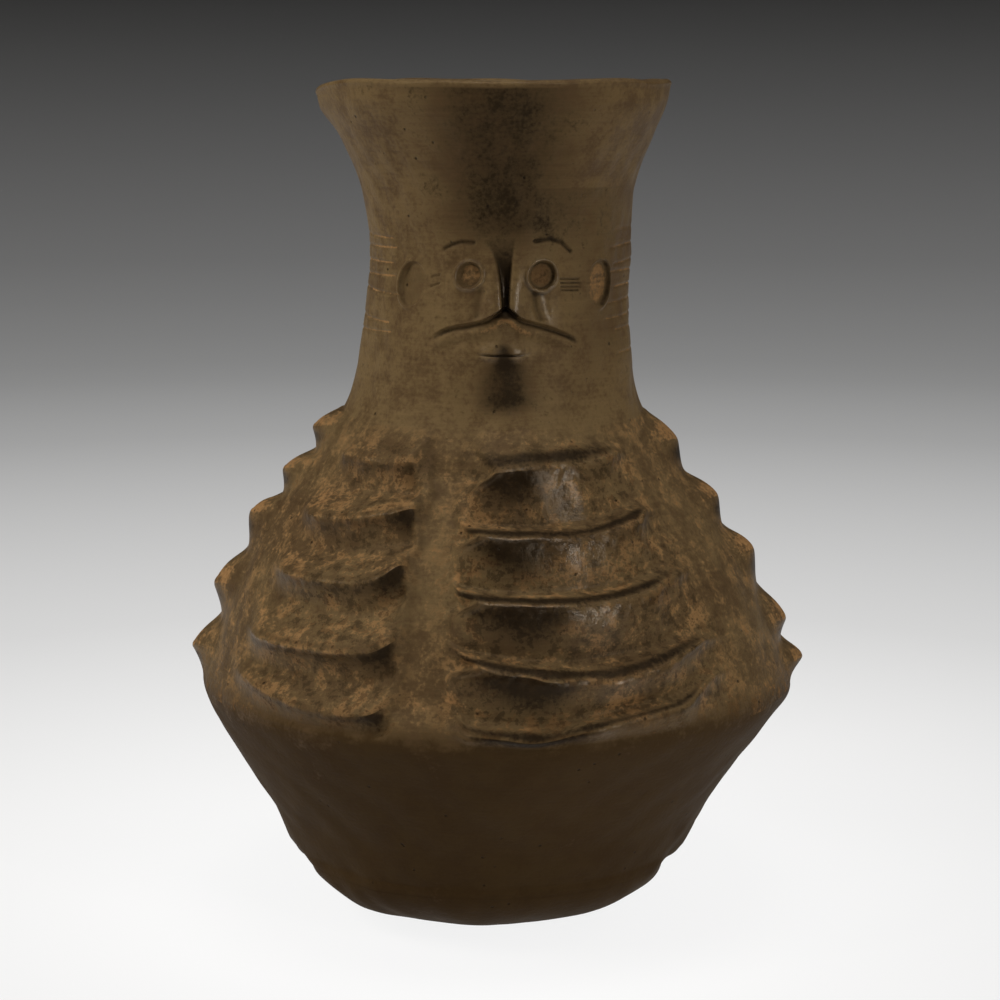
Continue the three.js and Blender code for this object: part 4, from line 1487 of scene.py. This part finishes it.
@dataclass
class LowerBody:
    """The round-bottomed base bowl and the lower wall lapped over it."""

    skin: Skin
    bowl_rows: int = 34
    lower_rows: int = 62
    lower_law: float = -1.25
    tone_top: Spot = (170.0, 46.0)
    # The lap is smeared away in front, up to this angle
    smear_end: Spot = (78.0, 26.0)
    smear_split: float = 0.84
    smear_step: float = 0.004
    matt: float = 0.55
    paddling: Waves = Waves(41, 16, (11, 26), (26.0, 60.0), 0.5)
    paddling_foot: Spot = (3.0, 20.0)
    rust: float = 0.42
    rust_at: Spot = (6.0, 26.0)
    rust_height: Spot = (34.0, 9.0)

    def bands(self) -> list[Band]:
        """Return the bands of rows from the foot to the belly edge."""
        skin, form = self.skin, self.skin.form
        lower = skin.level(form.lap_top, form.belly, self.lower_rows, self.lower_law)
        bowl, lap = skin.line(form.bowl(self.bowl_rows)), skin.line(form.lap())
        smear = falling(np.abs(skin.theta), *self.smear_end)[None, :]
        top, whole = float(lap[0][-1, 0]), form.base_rim + form.lap_height
        depth = whole / math.sqrt(1.0 - (form.foot_radius / top) ** 2)
        flat = len(form.foot_rings)
        places = (np.arange(len(bowl[0])) - flat) / (len(bowl[0]) - flat - 1)
        climb = self.smear_split * np.clip(places, 0.0, 1.0) ** form.bowl_law
        lapping = np.linspace(self.smear_split + self.smear_step, 1.0, len(lap[0]))
        for (radius, height, _), share in ((bowl, climb), (lap, lapping)):
            level = whole * share[:, None]
            drop = (whole - level) / depth
            full = np.where(radius < form.foot_radius, radius, top * np.sqrt(1.0 - drop * drop))
            radius += (full - radius) * smear
            height += (level - height) * smear
        return [("bowl", *bowl), ("lap", *lap), ("lower", *lower)]

    def shape(self) -> None:
        """Beat the lower wall with the paddle and lay its dark tone, which also stands in for the shade on
        the underside.
        """
        skin, theta = self.skin, self.skin.theta[None, :]
        rows, body = slice(0, skin.bands["lower"].stop), slice(0, skin.bands["throat"].start)
        height = skin.height[rows]
        skin.proud[rows] += self.paddling.at(theta, height) * rising(height, *self.paddling_foot)
        rust = bell(height, *self.rust_height) * bell(theta, *self.rust_at)
        skin.paint(rows, Tint.OCHRE, self.rust * rust)
        # Darker towards the bottom, also standing in for the shade on the underside
        tone = falling(skin.height[body], *self.tone_top)
        skin.mark(body, Zone.LOWER, tone)
        skin.paint(body, Tint.POLISH, -self.matt * tone)


@dataclass
class Lining:
    """The scraped inside of the pot, a coarser sheet than the skin."""

    skin: Skin
    step: int = 3
    bowl_rows: int = 10
    belly_rows: int = 14
    throat_rows: int = 27
    collar_rows: int = 31
    floor_rings: tuple[float, float] = (24.0, 44.0)
    lap_clear: float = 8.0
    coils_foot: Spot = (12.0, 20.0)
    marks: dict[str, int] = field(default_factory=dict)
    sheet: Sheet = field(init=False)

    def __post_init__(self) -> None:
        """Offset the bare outline inwards and leave coil marks on it."""
        form, theta = self.skin.form, self.skin.theta[::self.step]
        inside, lift = 1.0 - form.wall / form.base_rim_radius, 1.0 - form.wall / form.base_rim
        bowl = form.bowl(self.bowl_rows)[1:] * (inside, lift) + (0.0, form.wall)
        runs = [np.array([[radius, form.wall] for radius in self.floor_rings]), bowl]
        self.marks["bowl"] = sum(map(len, runs)) - 1
        belly = np.linspace(form.lap_top + self.lap_clear, form.belly, self.belly_rows)
        throat = np.linspace(form.belly, form.throat, self.throat_rows)[1:]
        collar = np.linspace(form.throat, form.collar, self.collar_rows)[1:]
        for name, height in (("belly", belly), ("throat", throat), ("collar", collar)):
            slope = (form.radius(height + 1.0) - form.radius(height - 1.0)) / 2.0
            runs.append(form.inset(height, form.wall, slope))
            self.marks[name] = sum(map(len, runs)) - 1
        line = np.concatenate(runs)
        height = np.repeat(line[:, 1:], len(theta), axis=1)
        radius = line[:, :1] - form.coils.at(theta[None, :], height) * rising(height, *self.coils_foot)
        points = form.around(theta, radius, height, height)
        zone = np.zeros((*height.shape, len(Zone)))
        zone[..., Zone.RAW] = 1.0
        self.sheet = Sheet(points, np.zeros((*height.shape, len(Tint))), zone)


@dataclass
class Pot:
    """The whole pot: one skin and lining, cut into its luted walls and applied pads."""

    columns: int = 552
    fine_step: float = 0.05
    front_step: float = 0.35
    flank_step: float = 0.8
    back_step: float = 2.0
    flank: Spot = (62.0, 8.0)
    back: Spot = (104.0, 16.0)
    waves_foot: Spot = (2.0, 14.0)
    waves_top: Spot = (-3.0, 12.0)
    worn: tuple[str, ...] = ("rib", "spur", "lip")
    form: PotForm = PotForm()

    def angles(self) -> Array:
        """Return the angles of the columns, close together on the face and ribs and wider behind."""
        fine = np.arange(-180.0, 180.0, self.fine_step)
        away = np.abs(fine)
        step = self.front_step + (self.flank_step - self.front_step) * rising(away, *self.flank)
        step = step + (self.back_step - self.flank_step) * rising(away, *self.back)
        count = np.cumsum(1.0 / step)
        return np.interp(np.arange(self.columns) / self.columns * count[-1], count, fine)

    def build(self, finishes: dict[Slot, Material]) -> None:
        """Shape the skin, then cut and dress every piece.

        Args:
            finishes: The material for each slot.
        """
        skin = Skin(self.form, self.angles())
        lower, shoulder, neck, rim = LowerBody(skin), Shoulder(skin), Neck(skin), Rim(skin)
        skin.stack([*lower.bands(), *shoulder.bands(), *neck.bands(), *rim.bands()])
        for part in (lower, shoulder, neck, rim):
            part.shape()
        self.unevenness(skin)
        lining, ribs, face = Lining(skin), shoulder.pads(), neck.pads()
        sheet, pocket, back = skin.sheet(), skin.sheet(shoulder.pocket), skin.sheet(shoulder.pad_thickness)
        for pad in (*ribs, *face):
            slot = Slot.WORN if pad[0].startswith(self.worn) else Slot.BURNISHED
            self.pad(sheet, back, pad).make(slot, finishes[slot])
        edges = {name: skin.bands[name].start for name in ("lap", "belly", "throat", "flare")}
        walls = (("lower_wall", "lap", "belly", "bowl", "belly", [], Slot.BASE),
                 ("shoulder_wall", "belly", "throat", "belly", "throat", ribs, Slot.BURNISHED),
                 ("neck_wall", "throat", "flare", "throat", "collar", face, Slot.BURNISHED))
        for name, low, high, inner_low, inner_high, pads, slot in walls:
            rows = np.arange(edges[low], edges[high] + 1)
            inner = np.arange(lining.marks[inner_low], lining.marks[inner_high] + 1)
            self.wall(name, sheet, pocket, lining, rows, inner, pads).make(slot, finishes[slot])
        self.base(sheet, lining, edges["lap"]).make(Slot.BASE, finishes[Slot.BASE])
        self.rim(sheet, edges["flare"]).make(Slot.BURNISHED, finishes[Slot.BURNISHED])

    def unevenness(self, skin: Skin) -> None:
        """Add the slow and quick waves of handwork all over the outside.

        Args:
            skin: The skin to add them to.
        """
        theta, outside = skin.theta[None, :], slice(0, skin.bands["lip"].start)
        height = skin.height[outside]
        waves = self.form.slow.at(theta, height) + self.form.quick.at(theta, height)
        waves = waves * rising(height, *self.waves_foot) * falling(height - self.form.lip, *self.waves_top)
        skin.proud[outside] += waves

    @staticmethod
    def pad(sheet: Sheet, back: Sheet, pad: Pad) -> Piece:
        """Cut one applied pad out of the skin and close it behind.

        Args:
            sheet: The skin.
            back: The sheet that its back lies on.
            pad: Its name, rows and columns.

        Returns:
            The closed pad.
        """
        name, rows, cols = pad
        piece = Piece(name)
        front = piece.lay(sheet, rows, cols)
        at_rows, at_cols = coarse(rows, cols)
        under = piece.lay(back, rows[at_rows], cols[at_cols], flip=True)
        piece.skirt(front, under, at_rows, at_cols, outward=True)
        return piece

    @staticmethod
    def wall(name: str, sheet: Sheet, pocket: Sheet, lining: Lining, rows: Array, inner: Array,
             pads: list[Pad]) -> Piece:
        """Cut one wall section out of the skin, pocketed for its pads and lined inside.

        Args:
            name: The section's name.
            sheet: The skin.
            pocket: The sheet that the floors of the pockets lie on.
            lining: The inside of the pot.
            rows: Its rows on the skin.
            inner: Its rows on the lining.
            pads: The pads set into it.

        Returns:
            The closed wall section.
        """
        piece = Piece(name)
        keep = np.ones((len(rows) - 1, sheet.points.shape[1]), bool)
        for _, pad_rows, pad_cols in pads:
            keep[pad_rows[0] - rows[0]:pad_rows[-1] - rows[0], pad_cols[0]:pad_cols[-1]] = False
        outside = piece.lay(sheet, rows, keep=keep)
        for _, pad_rows, pad_cols in pads:
            at_rows, at_cols = coarse(pad_rows, pad_cols)
            floor = piece.lay(pocket, pad_rows[at_rows], pad_cols[at_cols])
            border = outside[np.ix_(pad_rows - rows[0], pad_cols)]
            piece.skirt(border, floor, at_rows, at_cols, outward=False)
        lined = piece.lay(lining.sheet, inner, flip=True)
        piece.close_ring(outside[0], lined[0], lining.step, below=True)
        piece.close_ring(outside[-1], lined[-1], lining.step, below=False)
        return piece

    @staticmethod
    def base(sheet: Sheet, lining: Lining, top: int) -> Piece:
        """Close the base bowl, from its flat foot to its rim and back down inside.

        Args:
            sheet: The skin.
            lining: The inside of the pot.
            top: The first row above the bowl.

        Returns:
            The closed bowl.
        """
        piece = Piece("base_bowl")
        outside = piece.lay(sheet, np.arange(top))
        lined = piece.lay(lining.sheet, np.arange(lining.marks["bowl"] + 1), flip=True)
        piece.close_ring(outside[-1], lined[-1], lining.step, below=False)
        piece.cap(outside[0], flip=True)
        piece.cap(lined[0], flip=False)
        return piece

    @staticmethod
    def rim(sheet: Sheet, start: int) -> Piece:
        """Close the rim, from the collar over the lip to the collar inside.

        Args:
            sheet: The skin.
            start: The first row of the rim.

        Returns:
            The closed rim.
        """
        piece = Piece("rim_flare")
        skin = piece.lay(sheet, np.arange(start, len(sheet.points)))
        piece.close_ring(skin[0], skin[-1], 1, below=True)
        return piece


@dataclass(frozen=True)
class SmokeFiredTerracotta:
    """Low-fired clay, burnished with a pebble and blackened in an open fire.

    The pebble leaves a soft, slightly streaky shine, and hands leave a thin waxy coat on crests and cheeks
    that gives them narrow glints. The fire leaves clouds from olive to near black. Handling has rubbed the
    burnish off the ledges and hollows, where dusty ochre clay shows. The warm tint of the shine keeps a pale
    room from veiling the dark clay with grey.
    """

    name: str
    olive: str = "#5f4d32"
    brown: str = "#483723"
    # Dark tone of the lower body, also standing in for the shade on its underside
    lower: str = "#2a1c0b"
    ochre: str = "#6f4a27"
    pale_ochre: str = "#98754d"
    # The soot colour is also laid where shade is painted
    soot: str = "#150e07"
    raw: str = "#5a3f26"
    sheen_tint: str = "#e6c8a0"
    ior: float = 1.5
    specular: float = 0.15
    wax_weight: float = 0.35
    wax_roughness: float = 0.24
    wax_polish: tuple[float, float] = (0.45, 1.3)
    # Roughness of the burnish, and what polish, patterns and wear add to it
    roughness: float = 0.5
    polish_smooths: float = -0.26
    ochre_roughens: float = 0.2
    lower_roughens: float = 0.16
    raw_roughens: float = 0.3
    stroke_roughens: float = 0.1
    grit_roughens: float = 0.14
    pattern_mean: float = -0.12
    # Sizes of the patterns. Grit is about 1 mm, drawn coarser so that it still shows in the whole picture
    cloud_size: float = 55.0
    patch_size: float = 13.0
    fleck_size: float = 6.0
    grit_size: float = 2.4
    stroke_length: float = 30.0
    stroke_width: float = 1.7
    streak_length: float = 60.0
    streak_width: float = 4.5
    pit_spacing: float = 9.0
    pit_edge: tuple[float, float] = (0.06, 0.13)
    pit_patches: tuple[float, float] = (0.52, 0.6)
    noise_roughness: float = 0.6
    drawn_roughness: float = 0.55
    drawn_detail: float = 3.0
    stroke_shade: tuple[float, float] = (0.9, 1.1)
    # Heights of the finest relief
    stroke_height: float = 0.12
    grit_height: float = 0.3
    patch_height: float = 0.6
    pit_height: float = -0.7

    def material(self) -> Material:
        """Return the node material of this finish."""
        made = bpy.data.materials.new(self.name)
        made.use_nodes = True
        made.node_tree.nodes.clear()
        ClayNodes(self, made.node_tree).surface()
        return made


@dataclass
class ClayNodes:
    """The nodes of one clay finish: patterns, the masks made from them and the surface."""

    finish: SmokeFiredTerracotta
    tree: Tree
    place: Socket = field(init=False)
    tint: list[Socket] = field(init=False)
    zone: list[Socket] = field(init=False)
    noise: dict[str, Socket] = field(init=False)
    marks: dict[str, Socket] = field(init=False)

    def __post_init__(self) -> None:
        """Read the painted layers and make the patterns and masks."""
        self.place = add_node(self.tree, "ShaderNodeTexCoord", {}, {}).outputs["Object"]
        self.tint, self.zone = self.channels("tint"), self.channels("zone")
        self.noise = self.noises()
        self.marks = self.masks()

    def channels(self, name: str) -> list[Socket]:
        """Read a painted layer.

        Args:
            name: The layer's name.

        Returns:
            Its four channels.
        """
        layer = add_node(self.tree, "ShaderNodeAttribute", {"attribute_name": name}, {})
        split = add_node(self.tree, "ShaderNodeSeparateColor", {}, {"Color": layer.outputs["Color"]})
        return [*split.outputs, layer.outputs["Alpha"]]

    def pattern(self, place: Socket, scale: float, detail: float, roughness: float) -> Socket:
        """Return the value of a noise."""
        inputs = {"Vector": place, "Scale": scale, "Detail": detail, "Roughness": roughness}
        return add_node(self.tree, "ShaderNodeTexNoise", {}, inputs).outputs["Fac"]

    def noises(self) -> dict[str, Socket]:
        """Return the patterns of the surface by name, each at its size in millimetres."""
        tree, clay, made = self.tree, self.finish, {}
        plain = (("cloud", clay.cloud_size, 3.0), ("patch", clay.patch_size, 5.0),
                 ("grit", clay.grit_size, 4.0), ("fleck", clay.fleck_size, 4.0))
        for name, size, detail in plain:
            made[name] = self.pattern(self.place, per_metre(size), detail, clay.noise_roughness)
        around, up = per_metre(clay.stroke_length), per_metre(clay.stroke_width)
        lengthwise, across = per_metre(clay.streak_length), per_metre(clay.streak_width)
        for name, scale in (("stroke", (around, around, up)), ("streak", (across, across, lengthwise))):
            drawn = add_node(tree, "ShaderNodeMapping", {}, {"Vector": self.place, "Scale": scale})
            made[name] = self.pattern(drawn.outputs["Vector"], 1.0, clay.drawn_detail, clay.drawn_roughness)
        spacing = {"Vector": self.place, "Scale": per_metre(clay.pit_spacing)}
        cells = add_node(tree, "ShaderNodeTexVoronoi", {}, spacing).outputs["Distance"]
        hole = add_range(tree, cells, *clay.pit_edge, 1.0, 0.0)
        made["pit"] = add_math(tree, "MULTIPLY", hole, add_range(tree, made["patch"], *clay.pit_patches))
        return made

    def mask(self, base: Socket, low: float, high: float, *parts: tuple[Socket, float]) -> Socket:
        """Break a painted layer up with patterns.

        Args:
            base: The painted layer.
            low: Sum below which the mask is empty.
            high: Sum above which the mask is full.
            parts: Each pattern and how strongly it counts, about its middle value.

        Returns:
            The mask.
        """
        total = base
        for pattern, weight in parts:
            centred = add_math(self.tree, "MULTIPLY_ADD", pattern, weight, -0.5 * weight)
            total = add_math(self.tree, "ADD", total, centred)
        return add_range(self.tree, total, low, high)

    def masks(self) -> dict[str, Socket]:
        """Return the masks that the colours are laid through, by name."""
        tint, zone, noise = self.tint, self.zone, self.noise
        cloud, patch, grit, line = noise["cloud"], noise["patch"], noise["grit"], noise["stroke"]
        streaks = add_math(self.tree, "MULTIPLY", zone[Zone.STREAKS], noise["streak"])
        marks = {
            "cloud": self.mask(cloud, 0.2, 0.8, (patch, 1.1), (line, 0.2), (grit, 0.9)),
            "lower": self.mask(zone[Zone.LOWER], 0.2, 0.8, (cloud, 1.0), (patch, 1.4), (grit, 0.8)),
            "ochre": self.mask(tint[Tint.OCHRE], 0.25, 1.05, (patch, 2.2), (grit, 1.8), (line, 0.7),
                               (streaks, 1.4)),
            # The soot mask also carries the painted shade
            "soot": self.mask(tint[Tint.SOOT], 0.15, 1.0, (cloud, 0.4), (patch, 0.9), (grit, 0.9)),
            "raw": zone[Zone.RAW], "pit": noise["pit"]}
        for name, source in (("dark_fleck", noise["fleck"]), ("pale_fleck", patch)):
            edge = self.mask(source, 0.5, 0.6, (grit, 0.7))
            marks[name] = add_math(self.tree, "MULTIPLY", edge, zone[Zone.WORN])
        return marks

    def colour(self) -> Socket:
        """Return the colour: the clay's tones laid over one another, each through its mask."""
        tree, clay, soot = self.tree, self.finish, linear(self.finish.soot)
        tone = add_blend(tree, self.marks["cloud"], linear(clay.brown), linear(clay.olive))
        dust = add_blend(tree, self.noise["grit"], linear(clay.ochre), linear(clay.pale_ochre))
        layers = (("lower", 0.85, linear(clay.lower)), ("pale_fleck", 0.5, dust), ("dark_fleck", 0.52, soot),
                  ("ochre", 0.7, dust), ("soot", 0.94, soot), ("raw", 0.8, linear(clay.raw)),
                  ("pit", 0.75, soot))
        for name, strength, paint in layers:
            tone = add_blend(tree, add_math(tree, "MULTIPLY", self.marks[name], strength), tone, paint)
        shade = add_range(tree, self.noise["stroke"], 0.0, 1.0, *clay.stroke_shade, soft=False)
        return add_node(tree, "ShaderNodeHueSaturation", {}, {"Color": tone, "Value": shade}).outputs["Color"]

    def shine(self) -> Socket:
        """Return the roughness, less where the burnish is rubbed and more where dust or raw clay shows."""
        tree, clay, marks, noise = self.tree, self.finish, self.marks, self.noise
        total = add_math(tree, "MULTIPLY_ADD", self.tint[Tint.POLISH], clay.polish_smooths, clay.roughness)
        for part, weight in ((marks["ochre"], clay.ochre_roughens), (marks["lower"], clay.lower_roughens),
                             (marks["raw"], clay.raw_roughens), (noise["stroke"], clay.stroke_roughens),
                             (noise["grit"], clay.grit_roughens)):
            total = add_math(tree, "MULTIPLY_ADD", part, weight, total, clamp=True)
        return add_math(tree, "ADD", total, clay.pattern_mean, clamp=True)

    def relief(self) -> Socket:
        """Return the normal of pebble strokes, grit and pits, with heights in millimetres."""
        tree, clay, noise = self.tree, self.finish, self.noise
        total = add_math(tree, "MULTIPLY", noise["stroke"], clay.stroke_height)
        heights = {"grit": clay.grit_height, "patch": clay.patch_height, "pit": clay.pit_height}
        for name, height in heights.items():
            total = add_math(tree, "MULTIPLY_ADD", noise[name], height, total)
        inputs = {"Strength": 1.0, "Distance": MM, "Height": total}
        return add_node(tree, "ShaderNodeBump", {}, inputs).outputs["Normal"]

    def surface(self) -> None:
        """Join colour, roughness and relief in one surface with its waxy coat."""
        clay, bump = self.finish, self.relief()
        wax = add_range(self.tree, self.tint[Tint.POLISH], *clay.wax_polish, 0.0, clay.wax_weight)
        shader = add_node(self.tree, "ShaderNodeBsdfPrincipled", {}, {
            "Base Color": self.colour(), "Roughness": self.shine(), "Normal": bump, "IOR": clay.ior,
            "Specular IOR Level": clay.specular, "Specular Tint": linear(clay.sheen_tint),
            "Coat Weight": wax, "Coat Roughness": clay.wax_roughness, "Coat IOR": clay.ior,
            "Coat Normal": bump})
        add_node(self.tree, "ShaderNodeOutputMaterial", {}, {"Surface": shader.outputs["BSDF"]})


@dataclass(frozen=True)
class SoftBox:
    """A large soft lamp aimed at the pot, unmirrored where it would only veil the clay with grey."""

    name: str
    azimuth: float
    elevation: float
    distance: float
    width: float
    height: float
    power: float
    mirrored: bool = True

    def build(self, target: Vector) -> None:
        """Hang the lamp and aim it.

        Args:
            target: The point it looks at.
        """
        lamp = bpy.data.lights.new(self.name, "AREA")
        lamp.shape, lamp.size, lamp.size_y, lamp.energy = "RECTANGLE", self.width, self.height, self.power
        item = bpy.data.objects.new(self.name, lamp)
        item.visible_glossy = self.mirrored
        turn, rise = math.radians(self.azimuth), math.radians(self.elevation)
        away = Vector((math.sin(turn) * math.cos(rise), -math.cos(turn) * math.cos(rise), math.sin(rise)))
        item.location = target + away * self.distance
        item.rotation_mode = "QUATERNION"
        item.rotation_quaternion = away.to_track_quat("Z", "Y")
        bpy.context.scene.collection.objects.link(item)


@dataclass(frozen=True)
class Studio:
    """A pale round cove, soft lamps and the camera, in metres."""

    floor_radius: float = 2.6
    floor_rings: tuple[float, float] = (0.4, 1.2)
    cove_radius: float = 1.2
    cove_steps: int = 13
    cove_sides: int = 96
    wall_top: float = 3.2
    paper: str = "#dcd9d4"
    paper_roughness: float = 0.95
    paper_specular: float = 0.1
    wall: str = "#6b6966"
    wall_fade: float = 1.0
    # Stops of the backdrop's glow, painted light falling off from white by the pot to dark up the wall
    backdrop: tuple[tuple[float, str], ...] = (
        (0.2, "#ffffff"), (0.8, "#d8d8d8"), (1.95, "#a4a4a4"), (3.35, "#686868"), (4.45, "#1d1d1d"))
    glow_share: float = 0.86
    air: str = "#ffffff"
    air_strength: float = 0.13
    target: tuple[float, float, float] = (0.0, 0.0, 0.26)
    camera_place: tuple[float, float, float] = (0.0049, -1.411, 0.5)
    camera_pitch: float = 10.15
    lens: float = 84.6
    sensor: float = 36.0
    boxes: tuple[SoftBox, ...] = (
        SoftBox("left_box", -84.0, 26.0, 1.7, 0.9, 1.2, 24.0, False),
        SoftBox("left_strip", -58.0, 40.0, 1.8, 0.06, 0.7, 4.5),
        SoftBox("right_box", 40.0, 16.0, 1.8, 0.08, 1.2, 13.0),
        SoftBox("right_side_box", 104.0, 42.0, 1.7, 0.7, 1.2, 8.0, False),
        SoftBox("top_box", 0.0, 76.0, 1.6, 1.0, 0.4, 9.0),
    )

    def build(self) -> None:
        """Build the cove, hang the lamps and set the camera."""
        self.cove()
        self.world()
        for box in self.boxes:
            box.build(Vector(self.target))
        lens = bpy.data.cameras.new("camera")
        lens.lens, lens.sensor_width = self.lens, self.sensor
        camera = bpy.data.objects.new("camera", lens)
        camera.location = self.camera_place
        camera.rotation_euler = (math.radians(90.0 - self.camera_pitch), 0.0, 0.0)
        bpy.context.scene.collection.objects.link(camera)
        bpy.context.scene.camera = camera
        bpy.context.scene.view_settings.view_transform = "Standard"

    def cove(self) -> None:
        """Sweep the pale floor up into a round wall."""
        bend, sides = np.radians(np.linspace(0.0, 90.0, self.cove_steps)), self.cove_sides
        outer = self.floor_radius + self.cove_radius
        radius = [*self.floor_rings, *(self.floor_radius + self.cove_radius * np.sin(bend)), outer]
        height = [0.0, 0.0, *(self.cove_radius * (1.0 - np.cos(bend))), self.wall_top]
        turn = np.linspace(0.0, 2.0 * math.pi, sides + 1)[:-1]
        points = [(r * math.sin(t), -r * math.cos(t), z) for r, z in zip(radius, height) for t in turn]
        faces = [tuple(range(sides))]
        for low in range(0, (len(radius) - 1) * sides, sides):
            high = low + sides
            for i in range(sides):
                after = (i + 1) % sides
                faces.append((low + i, high + i, high + after, low + after))
        mesh = bpy.data.meshes.new("cove")
        mesh.from_pydata(points, [], faces)
        mesh.polygons.foreach_set("use_smooth", np.ones(len(faces), bool))
        mesh.materials.append(self.matt_paper())
        floor = bpy.data.objects.new("cove", mesh)
        bpy.context.scene.collection.objects.link(floor)

    def matt_paper(self) -> Material:
        """Return the backdrop's paper, pale for its light on the pot and graded where it is looked at."""
        paper = bpy.data.materials.new("matt_paper")
        paper.use_nodes = True
        tree = paper.node_tree
        shader = tree.nodes["Principled BSDF"]
        place = add_node(tree, "ShaderNodeTexCoord", {}, {}).outputs["Object"]
        rise = add_node(tree, "ShaderNodeSeparateXYZ", {}, {"Vector": place}).outputs["Z"]
        fade = add_range(tree, rise, 0.0, self.wall_fade, soft=False)
        shade = add_blend(tree, fade, linear(self.paper), linear(self.wall))
        tree.links.new(shade, shader.inputs["Base Color"])
        shader.inputs["Roughness"].default_value = self.paper_roughness
        shader.inputs["Specular IOR Level"].default_value = self.paper_specular
        path = add_node(tree, "ShaderNodeLightPath", {}, {})
        seen = path.outputs["Is Camera Ray"]
        for kind in ("Is Glossy Ray", "Is Transmission Ray"):
            seen = add_math(tree, "MAXIMUM", seen, path.outputs[kind])
        mixed = add_node(tree, "ShaderNodeMixShader", {}, {
            0: add_math(tree, "MULTIPLY", seen, self.glow_share), 1: shader.outputs["BSDF"],
            2: self.glow(tree, place, rise)})
        tree.links.new(mixed.outputs["Shader"], tree.nodes["Material Output"].inputs["Surface"])
        return paper

    def glow(self, tree: Tree, place: Socket, rise: Socket) -> Socket:
        """Grade the backdrop by the way along the floor and up the wall.

        Args:
            tree: The node tree.
            place: The object coordinates.
            rise: The height.

        Returns:
            The backdrop's own light.
        """
        level = {0: place, 1: (1.0, 1.0, 0.0)}
        flat = add_node(tree, "ShaderNodeVectorMath", {"operation": "MULTIPLY"}, level).outputs["Vector"]
        away = add_node(tree, "ShaderNodeVectorMath", {"operation": "LENGTH"}, {0: flat}).outputs["Value"]
        far, last = self.backdrop[-1]
        part = add_math(tree, "DIVIDE", add_math(tree, "ADD", away, rise), far)
        ramp = add_node(tree, "ShaderNodeValToRGB", {}, {"Fac": part})
        stops = ramp.color_ramp.elements
        stops.remove(stops[0])
        stops[0].color = linear(last)
        for reach, tone in self.backdrop[:-1]:
            stops.new(reach / far).color = linear(tone)
        inputs = {"Color": ramp.outputs["Color"], "Strength": 1.0}
        return add_node(tree, "ShaderNodeEmission", {}, inputs).outputs["Emission"]

    def world(self) -> None:
        """Fill the room with weak even light."""
        world = bpy.data.worlds.new("air")
        world.use_nodes = True
        back = world.node_tree.nodes["Background"]
        back.inputs["Color"].default_value = linear(self.air)
        back.inputs["Strength"].default_value = self.air_strength
        bpy.context.scene.world = world


def main() -> None:
    """Build the finishes, the pot and the studio in order."""
    logging.basicConfig(level=logging.INFO, format="%(message)s")
    finishes = {
        Slot.BURNISHED: SmokeFiredTerracotta("pebble_burnished_smoke_fired_terracotta").material(),
        Slot.WORN: SmokeFiredTerracotta("hand_rubbed_smoke_fired_terracotta").material(),
        Slot.BASE: SmokeFiredTerracotta("paddled_smoke_fired_terracotta").material(),
    }
    Pot().build(finishes)
    Studio().build()


if __name__ == "__main__":
    main()
